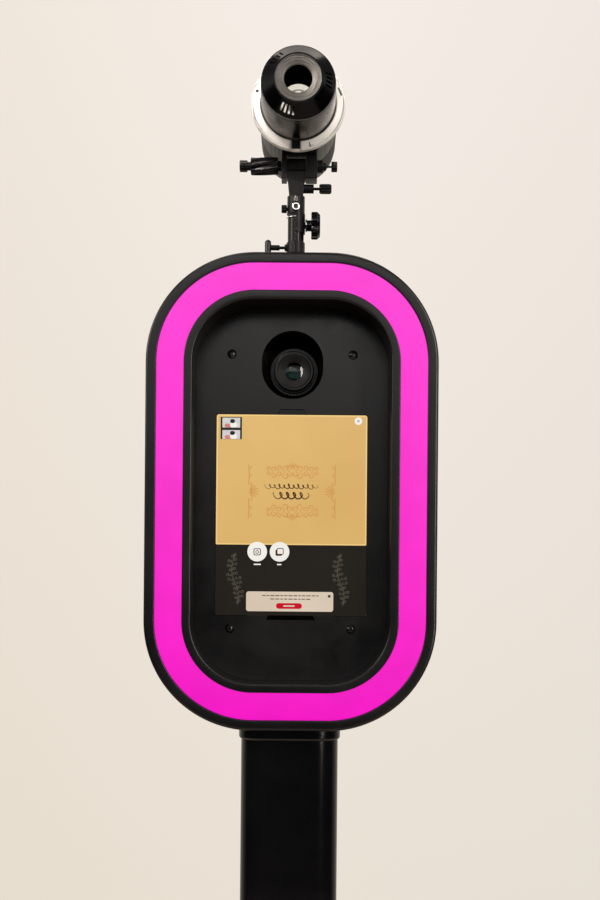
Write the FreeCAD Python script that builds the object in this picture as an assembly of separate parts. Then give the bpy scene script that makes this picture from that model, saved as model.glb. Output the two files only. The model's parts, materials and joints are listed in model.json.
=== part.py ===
"""Free-standing photo booth: a round-cornered light head on a post, with a studio flash on its mast.

Frame: millimetres, +Z up, the front faces -Y, the origin is on the floor under the base's centre.
Each function below makes one group of pieces, and main() writes one STEP file per piece.
"""
import FreeCAD, Part
import math
import os

V = FreeCAD.Vector
X, Y, Z = V(1, 0, 0), V(0, 1, 0), V(0, 0, 1)

# ---- driving dimensions -------------------------------------------------------------------------
HEAD_Z = 1300.0          # height of the head's centre
HEAD_W, HEAD_H = 370.0, 604.0
HEAD_R = 138.0           # corner radius of the head's outline
HEAD_FRONT, HEAD_BACK = -92.5, 92.5
WALL = 4.0               # wall of the moulded head
GAP = 0.3                # room between a moving piece and its neighbour
RUN = 0.05               # radial clearance of a turning or sliding fit

RIM = 13.5               # width of the outer rim
RIM_DEPTH = 6.0
LIGHT_W = 34.5           # width of the lit ring
BEZEL_W = 11.5           # width of the inner bezel
RECESS = 55.0            # how far the panel lies behind the head's front
PANEL_T = 3.0
SHELL_END = 78.0         # where the head's shell ends and the rear door starts
CHASSIS_Y = 0.0          # front of the chassis plate
CHASSIS_T = 2.0

SCREEN_W, SCREEN_H = 196.6, 262.1
SCREEN_Z = HEAD_Z - 27.0
TABLET_W, TABLET_H, TABLET_T = 214.9, 280.6, 5.9
SCREW_X, SCREW_Z = 79.0, 179.0
SCREW_MID = HEAD_Z + 3.5

LENS_X, LENS_Z = 1.8, HEAD_Z + 165.3
LENS_FRONT = -12.5
CAMERA_FRONT = 27.0
CAMERA_W, CAMERA_H, CAMERA_D = 118.0, 68.0, 34.0

POST_W, POST_D, POST_WALL = 129.0, 64.0, 3.0
POST_SPLIT = 520.0
POST_TOP = HEAD_Z - 310.0
BASE_W, BASE_D, BASE_T, BASE_R = 440.0, 400.0, 10.0, 60.0
FOOT_H = 6.0

MAST_X, MAST_Y, MAST_R = 2.4, 17.5, 10.9
MAST_END = HEAD_Z + 378.0
LEVER_Z = HEAD_Z + 336.6
TILT_Z = HEAD_Z + 446.5
FLASH_X, FLASH_Z = 4.6, HEAD_Z + 509.0
FLASH_R = 51.0
RING_FRONT = -42.5
FLASH_BACK = 121.0
SNOOT_FRONT = -122.5


# ---- helpers ------------------------------------------------------------------------------------
def box(x0, x1, y0, y1, z0, z1):
    """A block between two corners."""
    return Part.makeBox(x1 - x0, y1 - y0, z1 - z0, V(x0, y0, z0))


def rod(radius, start, end):
    """A cylinder from one point to another."""
    line = end - start
    return Part.makeCylinder(radius, line.Length, start, line)


def cone(radius_a, radius_b, start, end):
    """A truncated cone from one point to another."""
    line = end - start
    return Part.makeCone(radius_a, radius_b, line.Length, start, line)


def pipe(outer, inner, start, end):
    """A tube from one point to another."""
    over = (end - start).normalize()
    return rod(outer, start, end).cut(rod(inner, start - over, end + over))


def dome(radius, height, base, axis):
    """A spherical cap of the given height on a flat base."""
    ball = (radius * radius + height * height) / (2 * height)
    centre = base - axis * (ball - height)
    return Part.makeSphere(ball, centre).common(rod(radius + 1, base, base + axis * (height + 1)))


def fused(pieces):
    """One solid from pieces that meet."""
    whole = pieces[0].fuse(pieces[1:]) if len(pieces) > 1 else pieces[0]
    return whole.removeSplitter()


def outline(width, height, radius, centre_x=0.0, centre_z=HEAD_Z, y=0.0):
    """A round-cornered rectangle as a closed wire in the XZ plane."""
    hx, hz = width / 2, height / 2
    r = min(radius, hx, hz)
    edges = []
    for sx, sz, turn in ((1, 1, 0), (-1, 1, 90), (-1, -1, 180), (1, -1, 270)):
        mid = V(centre_x + sx * (hx - r), y, centre_z + sz * (hz - r))
        points = []
        for angle in (turn, turn + 45, turn + 90):
            a = math.radians(angle)
            points.append(mid + V(r * math.cos(a), 0, r * math.sin(a)))
        edges.append(Part.Arc(*points).toShape())
    sides = []
    for n in range(4):
        a = edges[n].Vertexes[-1].Point
        b = edges[(n + 1) % 4].Vertexes[0].Point
        if a.distanceToPoint(b) > 0.01:
            sides.append(Part.LineSegment(a, b).toShape())
    return Part.Wire(Part.__sortEdges__(edges + sides))


def slab(width, height, radius, y0, y1, centre_x=0.0, centre_z=HEAD_Z):
    """A round-cornered plate standing in the XZ plane."""
    face = Part.Face(outline(width, height, radius, centre_x, centre_z, y0))
    return face.extrude(V(0, y1 - y0, 0))


def head_slab(inset, y0, y1):
    """A plate with the head's outline drawn in by inset."""
    return slab(HEAD_W - 2 * inset, HEAD_H - 2 * inset, HEAD_R - inset, y0, y1)


def head_ring(inset_out, inset_in, y0, y1):
    """A ring between two insets of the head's outline."""
    return head_slab(inset_out, y0, y1).cut(head_slab(inset_in, y0 - 1, y1 + 1))


def flat_slab(width, depth, radius, z0, z1, centre_x=0.0, centre_y=0.0):
    """A round-cornered plate lying flat."""
    plate = slab(width, depth, radius, 0, z1 - z0, 0, 0)
    plate.rotate(V(0, 0, 0), X, 90)
    plate.translate(V(centre_x, centre_y, z0))
    return plate


def soften(shape, radius, test):
    """Fillet the edges that pass a test on their middle point."""
    chosen = [e for e in shape.Edges if test(e.BoundBox)]
    return shape.makeFillet(radius, chosen)


def on_plane_y(y):
    """A test for edges that lie in the plane of one Y."""
    return lambda b: abs(b.YMin - y) < 0.01 and abs(b.YMax - y) < 0.01


def fluted(radius, start, end, flutes, depth, width):
    """A knob with grooves along it."""
    knob = rod(radius, start, end)
    over = (end - start).normalize()
    across = over.cross(Z if abs(over.z) < 0.9 else X)
    grooves = []
    for n in range(flutes):
        groove = rod(width / 2, start - over, end + over)
        groove.translate(across * (radius + width / 2 - depth))
        groove.rotate(start, over, 360.0 * n / flutes)
        grooves.append(groove)
    return knob.cut(grooves)


def screw(head_r, head_h, shank_r, length, base, axis, hex_r=0.0):
    """A screw: its head stands on base along axis, and its shank goes the other way."""
    head = dome(head_r, head_h, base, axis)
    body = head.fuse(rod(shank_r, base - axis * length, base))
    if hex_r:
        body = body.cut(rod(hex_r, base + axis * (head_h - 1.6), base + axis * (head_h + 1)))
    return body


# ---- base and post ------------------------------------------------------------------------------
def base():
    """The floor plate with its feet, the socket that takes the post, and the bolts."""
    top = FOOT_H + BASE_T
    plate = flat_slab(BASE_W, BASE_D, BASE_R, FOOT_H, top)
    plate = soften(plate, 2.0, lambda b: abs(b.ZMin - top) < 0.01)
    feet = []
    screws_out = 170.0, 150.0
    for sx in (-1, 1):
        for sy in (-1, 1):
            spot = V(sx * screws_out[0], sy * screws_out[1], 0)
            foot = cone(22.0, 25.0, spot, spot + Z * FOOT_H)
            feet.append(foot.cut(rod(6.0, spot - Z, spot + Z * 3.0)))
    flange = flat_slab(210.0, 150.0, 20.0, top, top + 8.0)
    socket = flat_slab(POST_W + 14, POST_D + 14, (POST_D + 14) / 2, top, top + 62.0)
    hollow = flat_slab(POST_W, POST_D, POST_D / 2, top, top + 70.0)
    holder = fused([flange, socket]).cut(hollow)
    bolts = []
    for sx in (-1, 1):
        for sy in (-1, 1):
            spot = V(sx * 88.0, sy * 58.0, top + 8.0)
            bolts.append(screw(9.0, 8.0, 5.0, 14.0, spot, Z, 4.0))
    for bolt in bolts:
        holder = holder.cut(bolt)
        plate = plate.cut(bolt)
    save("base_plate", plate)
    save("base_feet", Part.makeCompound(feet))
    save("base_socket", holder)
    save("base_bolts", Part.makeCompound(bolts))


INLET_Z = 150.0
KNOB_Z = 565.0


def post_tube(z0, z1):
    """A length of the obround post."""
    inner = flat_slab(POST_W - 2 * POST_WALL, POST_D - 2 * POST_WALL, POST_D / 2 - POST_WALL, z0 - 1, z1 + 1)
    return flat_slab(POST_W, POST_D, POST_D / 2, z0, z1).cut(inner)


def post():
    """The post in two lengths on one sleeve, the clamp knob, and the power inlet with its switch."""
    back = POST_D / 2
    lower = post_tube(FOOT_H + BASE_T, POST_SPLIT)
    upper = post_tube(POST_SPLIT, POST_TOP)
    sleeve_w, sleeve_d = POST_W - 2 * POST_WALL, POST_D - 2 * POST_WALL
    sleeve = flat_slab(sleeve_w, sleeve_d, sleeve_d / 2, POST_SPLIT - 90, POST_SPLIT + 90)
    sleeve = sleeve.cut(flat_slab(sleeve_w - 8, sleeve_d - 8, sleeve_d / 2 - 4, POST_SPLIT - 91, POST_SPLIT + 91))
    shank_r = 5.0
    shank_hole = rod(shank_r + RUN, V(0, back - 12, KNOB_Z), V(0, back + 5, KNOB_Z))
    knob = fluted(18.0, V(0, back + 4, KNOB_Z), V(0, back + 20, KNOB_Z), 7, 3.5, 12.0)
    neck = rod(9.0, V(0, back + GAP, KNOB_Z), V(0, back + 4, KNOB_Z))
    shank = rod(shank_r, V(0, back - 9, KNOB_Z), V(0, back + 4, KNOB_Z))
    inlet_room = box(-16, 16, back - 10, back + 5, INLET_Z - 34, INLET_Z + 34)
    plate = slab(38.0, 74.0, 4.0, back, back + 3.0, 0, INLET_Z)
    case = box(-15.9, 15.9, back - 24, back, INLET_Z - 33.9, INLET_Z + 33.9)
    inlet = fused([plate, case])
    socket_z = INLET_Z - 14.0
    inlet = inlet.cut(slab(24.5, 17.5, 3.0, back - 14, back + 4, 0, socket_z))
    pins = [slab(2.0, 4.0, 0.5, back - 14, back - 1, x, socket_z) for x in (-7.0, 0.0, 7.0)]
    inlet = inlet.fuse(pins)
    switch_z = INLET_Z + 20.0
    inlet = inlet.cut(box(-7.4, 7.4, back - 16, back + 4, switch_z - 10.8, switch_z + 10.8))
    rocker = box(-7.0, 7.0, back - 9.6, back + 0.4, switch_z - 9.4, switch_z + 9.4)
    crown = box(-7.0, 7.0, back + 0.4, back + 3.4, switch_z - 9.4, switch_z)
    rocker = fused([rocker, crown])
    rocker = rocker.cut(box(-8, 8, back - 11, back - 7.5, switch_z - 11, switch_z - 4))
    rocker = rocker.cut(box(-8, 8, back - 11, back - 7.5, switch_z + 4, switch_z + 11))
    save("post_lower", lower.cut(inlet_room))
    save("post_upper", upper.cut(shank_hole))
    save("post_sleeve", sleeve.cut(shank_hole))
    save("post_knob", fused([knob, neck, shank]))
    save("power_inlet", inlet)
    save("power_rocker", rocker)


def collar():
    """The collar that caps the post and carries the head, and the bolts through the head's floor."""
    bottom = HEAD_Z - 323.0
    lip = flat_slab(POST_W + 6, POST_D + 6, POST_D / 2 + 3, bottom, HEAD_Z - 290)
    lip = soften(lip, 4.0, lambda b: abs(b.ZMax - bottom) < 0.01)
    lip = lip.cut(flat_slab(POST_W, POST_D, POST_D / 2, bottom - 1, POST_TOP))
    lip = lip.cut(head_slab(0, HEAD_FRONT, HEAD_BACK))
    floor = HEAD_Z - HEAD_H / 2 + WALL
    bolts = []
    for sx in (-1, 1):
        for sy in (-1, 1):
            bolts.append(screw(7.0, 5.0, 4.0, 10.0, V(sx * 32, sy * 17, floor), Z, 3.0))
    for bolt in bolts:
        lip = lip.cut(bolt)
    save("post_collar", lip)
    save("head_bolts", Part.makeCompound(bolts))
    return bolts


# ---- head ---------------------------------------------------------------------------------------
LOCK_X = 150.0


def head_shell(bolts, socket_hole):
    """The outer moulding: its rim, side wall, inner ledge and lock strike."""
    rim = head_ring(0, RIM, HEAD_FRONT, HEAD_FRONT + RIM_DEPTH)
    band = head_ring(0, WALL, HEAD_FRONT + RIM_DEPTH, SHELL_END)
    ledge = head_ring(WALL - 1, WALL + 12, CHASSIS_Y - 4, CHASSIS_Y)
    strike = box(LOCK_X + 16, HEAD_W / 2 - WALL + 1, 70, 74, HEAD_Z - 14, HEAD_Z + 14)
    shell = fused([rim, band, ledge, strike])
    shell = soften(shell, 3.6, on_plane_y(HEAD_FRONT))
    for bolt in bolts:
        shell = shell.cut(bolt)
    for hole in chassis_screw_spots():
        shell = shell.cut(rod(2.0, hole - Y * 4, hole + Y))
    shell = shell.cut(socket_hole)
    save("outer_frame", shell)


def chassis_screw_spots():
    """Where the chassis is screwed to the head's ledge, on the ledge's middle line."""
    x = HEAD_W / 2 - WALL - 6
    z = HEAD_H / 2 - WALL - 6
    spots = [V(sx * x, CHASSIS_Y, HEAD_Z + dz) for sx in (-1, 1) for dz in (-150, 0, 150)]
    return spots + [V(dx, CHASSIS_Y, HEAD_Z + sz * z) for sz in (-1, 1) for dx in (-40, 40)]


def light():
    """The lit ring: its tray, the strips of lamps and the diffuser."""
    front = HEAD_FRONT + 1.5
    back = front + 4.0
    tray_back = back + 22.0
    out, inn = RIM + 0.3, RIM + LIGHT_W - 0.3
    diffuser = head_ring(out, inn, front, back)
    walls = head_ring(out, inn, back, tray_back)
    walls = walls.cut(head_ring(out + 1.5, inn - 1.5, back - 1, tray_back - 1.5))
    strips = []
    for inset in (RIM + 9.0, RIM + LIGHT_W - 17.0):
        strips.append(head_ring(inset, inset + 8.0, tray_back - 3.0, tray_back - 1.5))
        strips.extend(lamps_along(inset + 4.0, tray_back - 3.0))
    save("led_diffuser", diffuser)
    save("led_tray", walls)
    save("led_strips", Part.makeCompound(strips))


def lamps_along(inset, y):
    """Small square lamps standing on a strip, evenly along its round-cornered path."""
    wire = outline(HEAD_W - 2 * inset, HEAD_H - 2 * inset, HEAD_R - inset)
    count = int(wire.Length / 42)
    lamps = []
    for spot in wire.discretize(Number=count + 1)[:-1]:
        lamps.append(box(spot.x - 2.5, spot.x + 2.5, y - 1.6, y, spot.z - 2.5, spot.z + 2.5))
    return lamps


def inner_frame():
    """The bezel and the recess wall, with the flange behind the panel and its pillars to the chassis."""
    inner = RIM + LIGHT_W + BEZEL_W
    outer = RIM + LIGHT_W
    panel_back = HEAD_FRONT + RECESS + PANEL_T
    bezel = head_ring(outer, inner, HEAD_FRONT, HEAD_FRONT + 4)
    wall = head_ring(inner - 3, inner, HEAD_FRONT + 4, panel_back)
    flange = head_ring(inner - 14, inner + 4, panel_back, panel_back + 2.5)
    shelf_y = HEAD_FRONT + 1.5 + 4.0 + 22.0
    shelf = head_ring(RIM + 1, inner - 2, shelf_y, shelf_y + 2)
    frame = fused([bezel, wall, flange, shelf])
    frame = soften(frame, 2.4, on_plane_y(HEAD_FRONT))
    pillars = []
    for sx in (-1, 1):
        for dz in (-140, 0, 140):
            spot = V(sx * 132, panel_back + 2, HEAD_Z + dz)
            pillars.append(rod(5.0, spot, V(spot.x, CHASSIS_Y, spot.z)))
    save("inner_frame", frame.fuse(pillars))


def notch(width_edge, width_deep, depth, edge_z, up):
    """A trapezoid cut beside the screen opening."""
    y = HEAD_FRONT + RECESS - 1
    z0, z1 = edge_z - up * 2, edge_z + up * depth
    corners = [V(-width_edge / 2, y, z0), V(width_edge / 2, y, z0)]
    corners += [V(width_deep / 2, y, z1), V(-width_deep / 2, y, z1), V(-width_edge / 2, y, z0)]
    return Part.Face(Part.makePolygon(corners)).extrude(Y * (PANEL_T + 2))


def panel():
    """The face panel with its openings, its dome screws and the spacers behind it."""
    front = HEAD_FRONT + RECESS
    back = front + PANEL_T
    inset = RIM + LIGHT_W + BEZEL_W + 0.2
    plate = head_slab(inset, front, back)
    window = slab(SCREEN_W, SCREEN_H, 3.0, front - 1, back + 1, 0, SCREEN_Z)
    plate = plate.cut(window)
    plate = plate.makeChamfer(1.0, [e for e in plate.Edges if window_edge(e.BoundBox, front)])
    plate = plate.cut(notch(40.0, 31.0, 7.0, SCREEN_Z + SCREEN_H / 2, 1))
    plate = plate.cut(notch(57.0, 64.0, 6.0, SCREEN_Z - SCREEN_H / 2, -1))
    plate = plate.cut(slab(80.0, 89.0, 39.9, front - 1, back + 1, 0, HEAD_Z + 169.0))
    screws, spacers = [], []
    for sx in (-1, 1):
        for sz in (-1, 1):
            spot = V(sx * SCREW_X, front, SCREW_MID + sz * SCREW_Z)
            screws.append(screw(6.2, 3.4, 2.5, 18.0, spot, -Y, 1.9))
            plate = plate.cut(rod(2.7, spot - Y, spot + Y * (PANEL_T + 1)))
            back_spot = spot + Y * PANEL_T
            spacers.append(pipe(5.0, 2.5, back_spot, V(spot.x, CHASSIS_Y, spot.z)))
    save("face_panel", plate)
    save("panel_screws", Part.makeCompound(screws))
    save("panel_spacers", Part.makeCompound(spacers))


def window_edge(b, front):
    """True for the edges of the screen opening at the panel's front."""
    inside = abs(b.Center.x) < SCREEN_W / 2 + 1 and abs(b.Center.z - SCREEN_Z) < SCREEN_H / 2 + 1
    flat = abs(b.YMin - front) < 0.01 and abs(b.YMax - front) < 0.01
    return inside and flat and b.DiagonalLength < SCREEN_H + 5


def tablet():
    """The tablet behind the panel: its back shell, its glass, and the clips that hold it."""
    y = HEAD_FRONT + RECESS + PANEL_T
    glass = slab(TABLET_W - 1, TABLET_H - 1, 17.5, y, y + 0.9, 0, SCREEN_Z)
    body = slab(TABLET_W, TABLET_H, 18.0, y + 0.9, y + TABLET_T, 0, SCREEN_Z)
    body = soften(body, 1.5, on_plane_y(y + TABLET_T))
    clips = []
    for sx in (-1, 1):
        for dz in (-90, 0, 90):
            edge = sx * TABLET_W / 2
            lo, hi = sorted((edge, edge + sx * 7.0))
            foot = box(lo, hi, y, y + TABLET_T, SCREEN_Z + dz - 12, SCREEN_Z + dz + 12)
            lo, hi = sorted((edge - sx * 10.0, edge + sx * 7.0))
            tongue = box(lo, hi, y + TABLET_T, y + TABLET_T + 3, SCREEN_Z + dz - 12, SCREEN_Z + dz + 12)
            clips.append(fused([foot, tongue]))
    save("tablet_glass", glass)
    save("tablet_body", body)
    save("tablet_clips", Part.makeCompound(clips))


def chassis():
    """The steel plate across the head, with windows for the camera and the wiring, and its screws."""
    plate = head_slab(WALL + 0.2, CHASSIS_Y, CHASSIS_Y + CHASSIS_T)
    plate = plate.cut(slab(100.0, 100.0, 20.0, CHASSIS_Y - 1, CHASSIS_Y + 3, LENS_X, LENS_Z))
    for dx in (-95, 0, 95):
        plate = plate.cut(slab(50.0, 90.0, 12.0, CHASSIS_Y - 1, CHASSIS_Y + 3, dx, HEAD_Z - 20.0))
    plate = plate.cut(slab(110.0, 24.0, 10.0, CHASSIS_Y - 1, CHASSIS_Y + 3, 0, HEAD_Z - 255))
    screws = []
    for spot in chassis_screw_spots():
        screws.append(screw(4.0, 2.6, 2.0, 6.0, spot + Y * CHASSIS_T, Y, 1.4))
    for item in screws:
        plate = plate.cut(item)
    save("chassis_plate", plate)
    save("chassis_screws", Part.makeCompound(screws))


def camera():
    """The camera on its shelf, with its lens, focus ring, dial and shutter button."""
    axis = V(LENS_X, 0, LENS_Z)
    floor = LENS_Z - CAMERA_H / 2
    back = CAMERA_FRONT + CAMERA_D
    body = slab(CAMERA_W, CAMERA_H, 8.0, CAMERA_FRONT, back, LENS_X, LENS_Z)
    grip = slab(22.0, CAMERA_H - 4, 6.0, CAMERA_FRONT - 10, CAMERA_FRONT, LENS_X - CAMERA_W / 2 + 13, LENS_Z - 2)
    hump = box(LENS_X - 17, LENS_X + 17, CAMERA_FRONT + 3, back - 3, LENS_Z + 30, LENS_Z + 43)
    body = fused([body, grip, hump])
    top = LENS_Z + CAMERA_H / 2
    button_at = V(LENS_X - 46, CAMERA_FRONT + 8, top)
    dial_at = V(LENS_X + 40, CAMERA_FRONT + 16, top)
    body = body.cut(rod(4.0, button_at - Z * 4, button_at + Z))
    body = body.cut(rod(2.5 + RUN, dial_at - Z * 6, dial_at + Z))
    button = fused([rod(3.6, button_at - Z * 2.4, button_at + Z * 1.6), rod(4.4, button_at + Z * 1.5, button_at + Z * 3)])
    dial = fused([
        fluted(10.0, dial_at + Z * GAP, dial_at + Z * 7, 24, 0.5, 1.6),
        rod(2.5, dial_at - Z * 5, dial_at + Z),
    ])
    barrel = pipe(28.0, 22.0, axis + Y * (LENS_FRONT + 4.5), axis + Y * CAMERA_FRONT)
    barrel = barrel.fuse(pipe(30.5, 27.0, axis + Y * (CAMERA_FRONT - 9), axis + Y * CAMERA_FRONT))
    focus = fluted(31.5, axis + Y * (LENS_FRONT + 10), axis + Y * (CAMERA_FRONT - 9 - GAP), 40, 0.7, 2.4)
    focus = focus.cut(rod(28.0 + RUN, axis - Y * 20, axis + Y * 30))
    ring = pipe(26.8, 24.1, axis + Y * LENS_FRONT, axis + Y * (LENS_FRONT + 4.5))
    face = pipe(24.1, 12.0, axis + Y * (LENS_FRONT + 1), axis + Y * (LENS_FRONT + 4.5))
    face = face.cut(cone(24.0, 12.0, axis + Y * LENS_FRONT, axis + Y * (LENS_FRONT + 4)))
    ring = fused([ring, face])
    glass = dome(11.9, 2.5, axis + Y * (LENS_FRONT + 4.5), -Y)
    glass = glass.fuse(rod(11.9, axis + Y * (LENS_FRONT + 4.5), axis + Y * (LENS_FRONT + 7)))
    glass = glass.fuse(rod(22.0, axis + Y * (LENS_FRONT + 6), axis + Y * (LENS_FRONT + 9)))
    upright = box(LENS_X - 55, LENS_X + 55, CHASSIS_Y + CHASSIS_T, CHASSIS_Y + CHASSIS_T + 3, floor - 45, floor)
    deck = box(LENS_X - 55, LENS_X + 55, CHASSIS_Y + CHASSIS_T, back + 4, floor - 3, floor)
    ribs = []
    for sx in (-1, 1):
        x = LENS_X + sx * 50
        points = [V(x - 1.5, 4, floor - 45), V(x - 1.5, 4, floor - 2), V(x - 1.5, back, floor - 2)]
        points.append(points[0])
        ribs.append(Part.Face(Part.makePolygon(points)).extrude(X * 3))
    shelf = fused([upright, deck] + ribs)
    bolt = fused([rod(9.0, V(LENS_X, 44, floor - 11), V(LENS_X, 44, floor - 3)),
                  rod(3.1, V(LENS_X, 44, floor - 4), V(LENS_X, 44, floor + 6))])
    save("camera_body", body.cut(bolt))
    save("camera_shelf", fused([shelf, bolt]))
    save("shutter_button", button)
    save("mode_dial", dial)
    save("lens_barrel", barrel)
    save("focus_ring", focus)
    save("lens_ring", ring)
    save("lens_glass", glass)


def power_supply():
    """The closed power supply on the chassis, with its terminal block."""
    y = CHASSIS_Y + CHASSIS_T
    case = box(-75, 75, y, y + 40, HEAD_Z - 190, HEAD_Z - 95)
    block = box(-60, 60, y, y + 20, HEAD_Z - 204, HEAD_Z - 190)
    slots = [box(x, x + 3, y + 38, y + 41, HEAD_Z - 180, HEAD_Z - 105) for x in range(-60, 61, 12)]
    save("power_supply", fused([case, block]).cut(slots))


# ---- rear door ----------------------------------------------------------------------------------
HINGE_X = -HEAD_W / 2 - 6.0
HINGE_Y = SHELL_END + 0.15
HINGE_SPOTS = (HEAD_Z - 120.0, HEAD_Z + 120.0)


def rear_door():
    """The lid at the back, its hinges and its turning lock."""
    start = SHELL_END + GAP
    lid = head_slab(0, HEAD_BACK - 4, HEAD_BACK)
    rim = head_ring(0, WALL, start, HEAD_BACK - 4)
    lid = fused([lid, rim])
    lid = soften(lid, 3.5, on_plane_y(HEAD_BACK))
    for sz in (-1, 1):
        for n in range(7):
            z = HEAD_Z + sz * (40 + 14 * n)
            lid = lid.cut(slab(130.0, 5.0, 2.4, HEAD_BACK - 5, HEAD_BACK + 1, 0, z))
    lock_at = V(LOCK_X, 0, HEAD_Z)
    lid = lid.cut(rod(8.0 + RUN, lock_at + Y * (HEAD_BACK - 5), lock_at + Y * (HEAD_BACK + 1)))
    fixed, pins, knuckles = [], [], []
    r = 5.0
    for z in HINGE_SPOTS:
        for z0, z1 in ((z - 30, z - 11.3), (z + 11.3, z + 30)):
            barrel = rod(r, V(HINGE_X, HINGE_Y, z0), V(HINGE_X, HINGE_Y, z1))
            web = box(HINGE_X, -HEAD_W / 2, HINGE_Y - 5, HINGE_Y - 0.15, z0, z1)
            fixed.append(barrel.fuse(web).cut(rod(2.0, V(HINGE_X, HINGE_Y, z0 - 1), V(HINGE_X, HINGE_Y, z1 + 1))))
        leaf = box(-HEAD_W / 2 - 2, -HEAD_W / 2, 52, HINGE_Y - 4, z - 30, z + 30)
        fixed.append(leaf)
        middle = rod(r, V(HINGE_X, HINGE_Y, z - 11), V(HINGE_X, HINGE_Y, z + 11))
        arm = box(HINGE_X, -HEAD_W / 2 + 1, start, HINGE_Y + 5, z - 11, z + 11)
        knuckles.append(middle.fuse(arm))
        pins.append(rod(2.0, V(HINGE_X, HINGE_Y, z - 32), V(HINGE_X, HINGE_Y, z + 32)))
    lid = fused([lid] + knuckles)
    for z in HINGE_SPOTS:
        lid = lid.cut(rod(2.0 + RUN, V(HINGE_X, HINGE_Y, z - 12), V(HINGE_X, HINGE_Y, z + 12)))
    face = rod(10.5, lock_at + Y * (HEAD_BACK + GAP), lock_at + Y * (HEAD_BACK + 2.3))
    barrel = rod(8.0, lock_at + Y * 67, lock_at + Y * (HEAD_BACK + 1))
    cam = slab(16.0, 38.0, 7.9, 63, 67, LOCK_X, HEAD_Z + 11)
    key_slot = box(LOCK_X - 0.8, LOCK_X + 0.8, HEAD_BACK, HEAD_BACK + 3, HEAD_Z - 4, HEAD_Z + 4)
    save("rear_door", lid)
    save("hinge_leaves", Part.makeCompound([fused(fixed[:3]), fused(fixed[3:])]))
    save("hinge_pins", Part.makeCompound(pins))
    save("door_lock", fused([face, barrel, cam]).cut(key_slot))


# ---- mast and tilt bracket ----------------------------------------------------------------------
def mast_point(dx, z, dy=0.0):
    """A point given from the mast's axis."""
    return V(MAST_X + dx, MAST_Y + dy, z)


def mast():
    """The flanged socket on the head, its screws and clamp lever, and the sliding mast tube."""
    top = HEAD_Z + HEAD_H / 2
    flange = rod(33.0, mast_point(0, top), mast_point(0, top + 5))
    boss = cone(20.0, 14.0, mast_point(0, top + 5), mast_point(0, HEAD_Z + 328))
    neck = rod(12.4, mast_point(0, HEAD_Z + 327), mast_point(0, HEAD_Z + 343))
    sleeve = rod(15.0, mast_point(0, HEAD_Z + 262), mast_point(0, top + 1))
    lug = rod(4.6, mast_point(-14.9, LEVER_Z), mast_point(-9, LEVER_Z))
    socket = fused([flange, boss, neck, sleeve, lug])
    socket = socket.cut(rod(MAST_R + RUN, mast_point(0, HEAD_Z + 200), mast_point(0, HEAD_Z + 400)))
    socket = socket.cut(rod(2.0 + RUN, mast_point(-20, LEVER_Z), mast_point(-8, LEVER_Z)))
    screws = []
    for n in range(4):
        a = math.radians(45 + 90 * n)
        spot = mast_point(26.5 * math.cos(a), top + 5, 26.5 * math.sin(a))
        screws.append(screw(4.2, 2.6, 2.0, 9.0, spot, Z, 1.5))
    for item in screws:
        socket = socket.cut(item)
    shaft = rod(2.0, mast_point(-22, LEVER_Z), mast_point(-11.2, LEVER_Z))
    arm = rod(3.6, mast_point(-34, LEVER_Z), mast_point(-21.7, LEVER_Z))
    grip = rod(4.3, mast_point(-37.4, LEVER_Z - 12), mast_point(-37.4, LEVER_Z + 6.3))
    tip = Part.makeSphere(4.3, mast_point(-37.4, LEVER_Z + 6.3))
    heel = Part.makeSphere(4.3, mast_point(-37.4, LEVER_Z - 12))
    tube = pipe(MAST_R, MAST_R - 2.0, mast_point(0, HEAD_Z + 235), mast_point(0, MAST_END))
    save("mast_socket", socket)
    save("mast_screws", Part.makeCompound(screws))
    save("mast_lever", fused([shaft, arm, grip, tip, heel]))
    save("mast_tube", tube)
    return [rod(15.0, mast_point(0, top - 8), mast_point(0, top + 1))] + screws


def loft_stem(z0, z1):
    """The bracket's tapering stem between two heights."""
    wires = []
    for z, half_x, half_y in ((z0, 9.0, 8.0), (z1, 12.5, 9.4)):
        ring = [mast_point(sx * half_x, z, sy * half_y) for sx, sy in ((-1, -1), (1, -1), (1, 1), (-1, 1))]
        wires.append(Part.makePolygon(ring + ring[:1]))
    return Part.makeLoft(wires, True)


STAR_Z = HEAD_Z + 366.6
SPIGOT_Z = HEAD_Z + 389.0
UMBRELLA_Z = HEAD_Z + 416.5
BRACKET_R = 12.4


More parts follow.
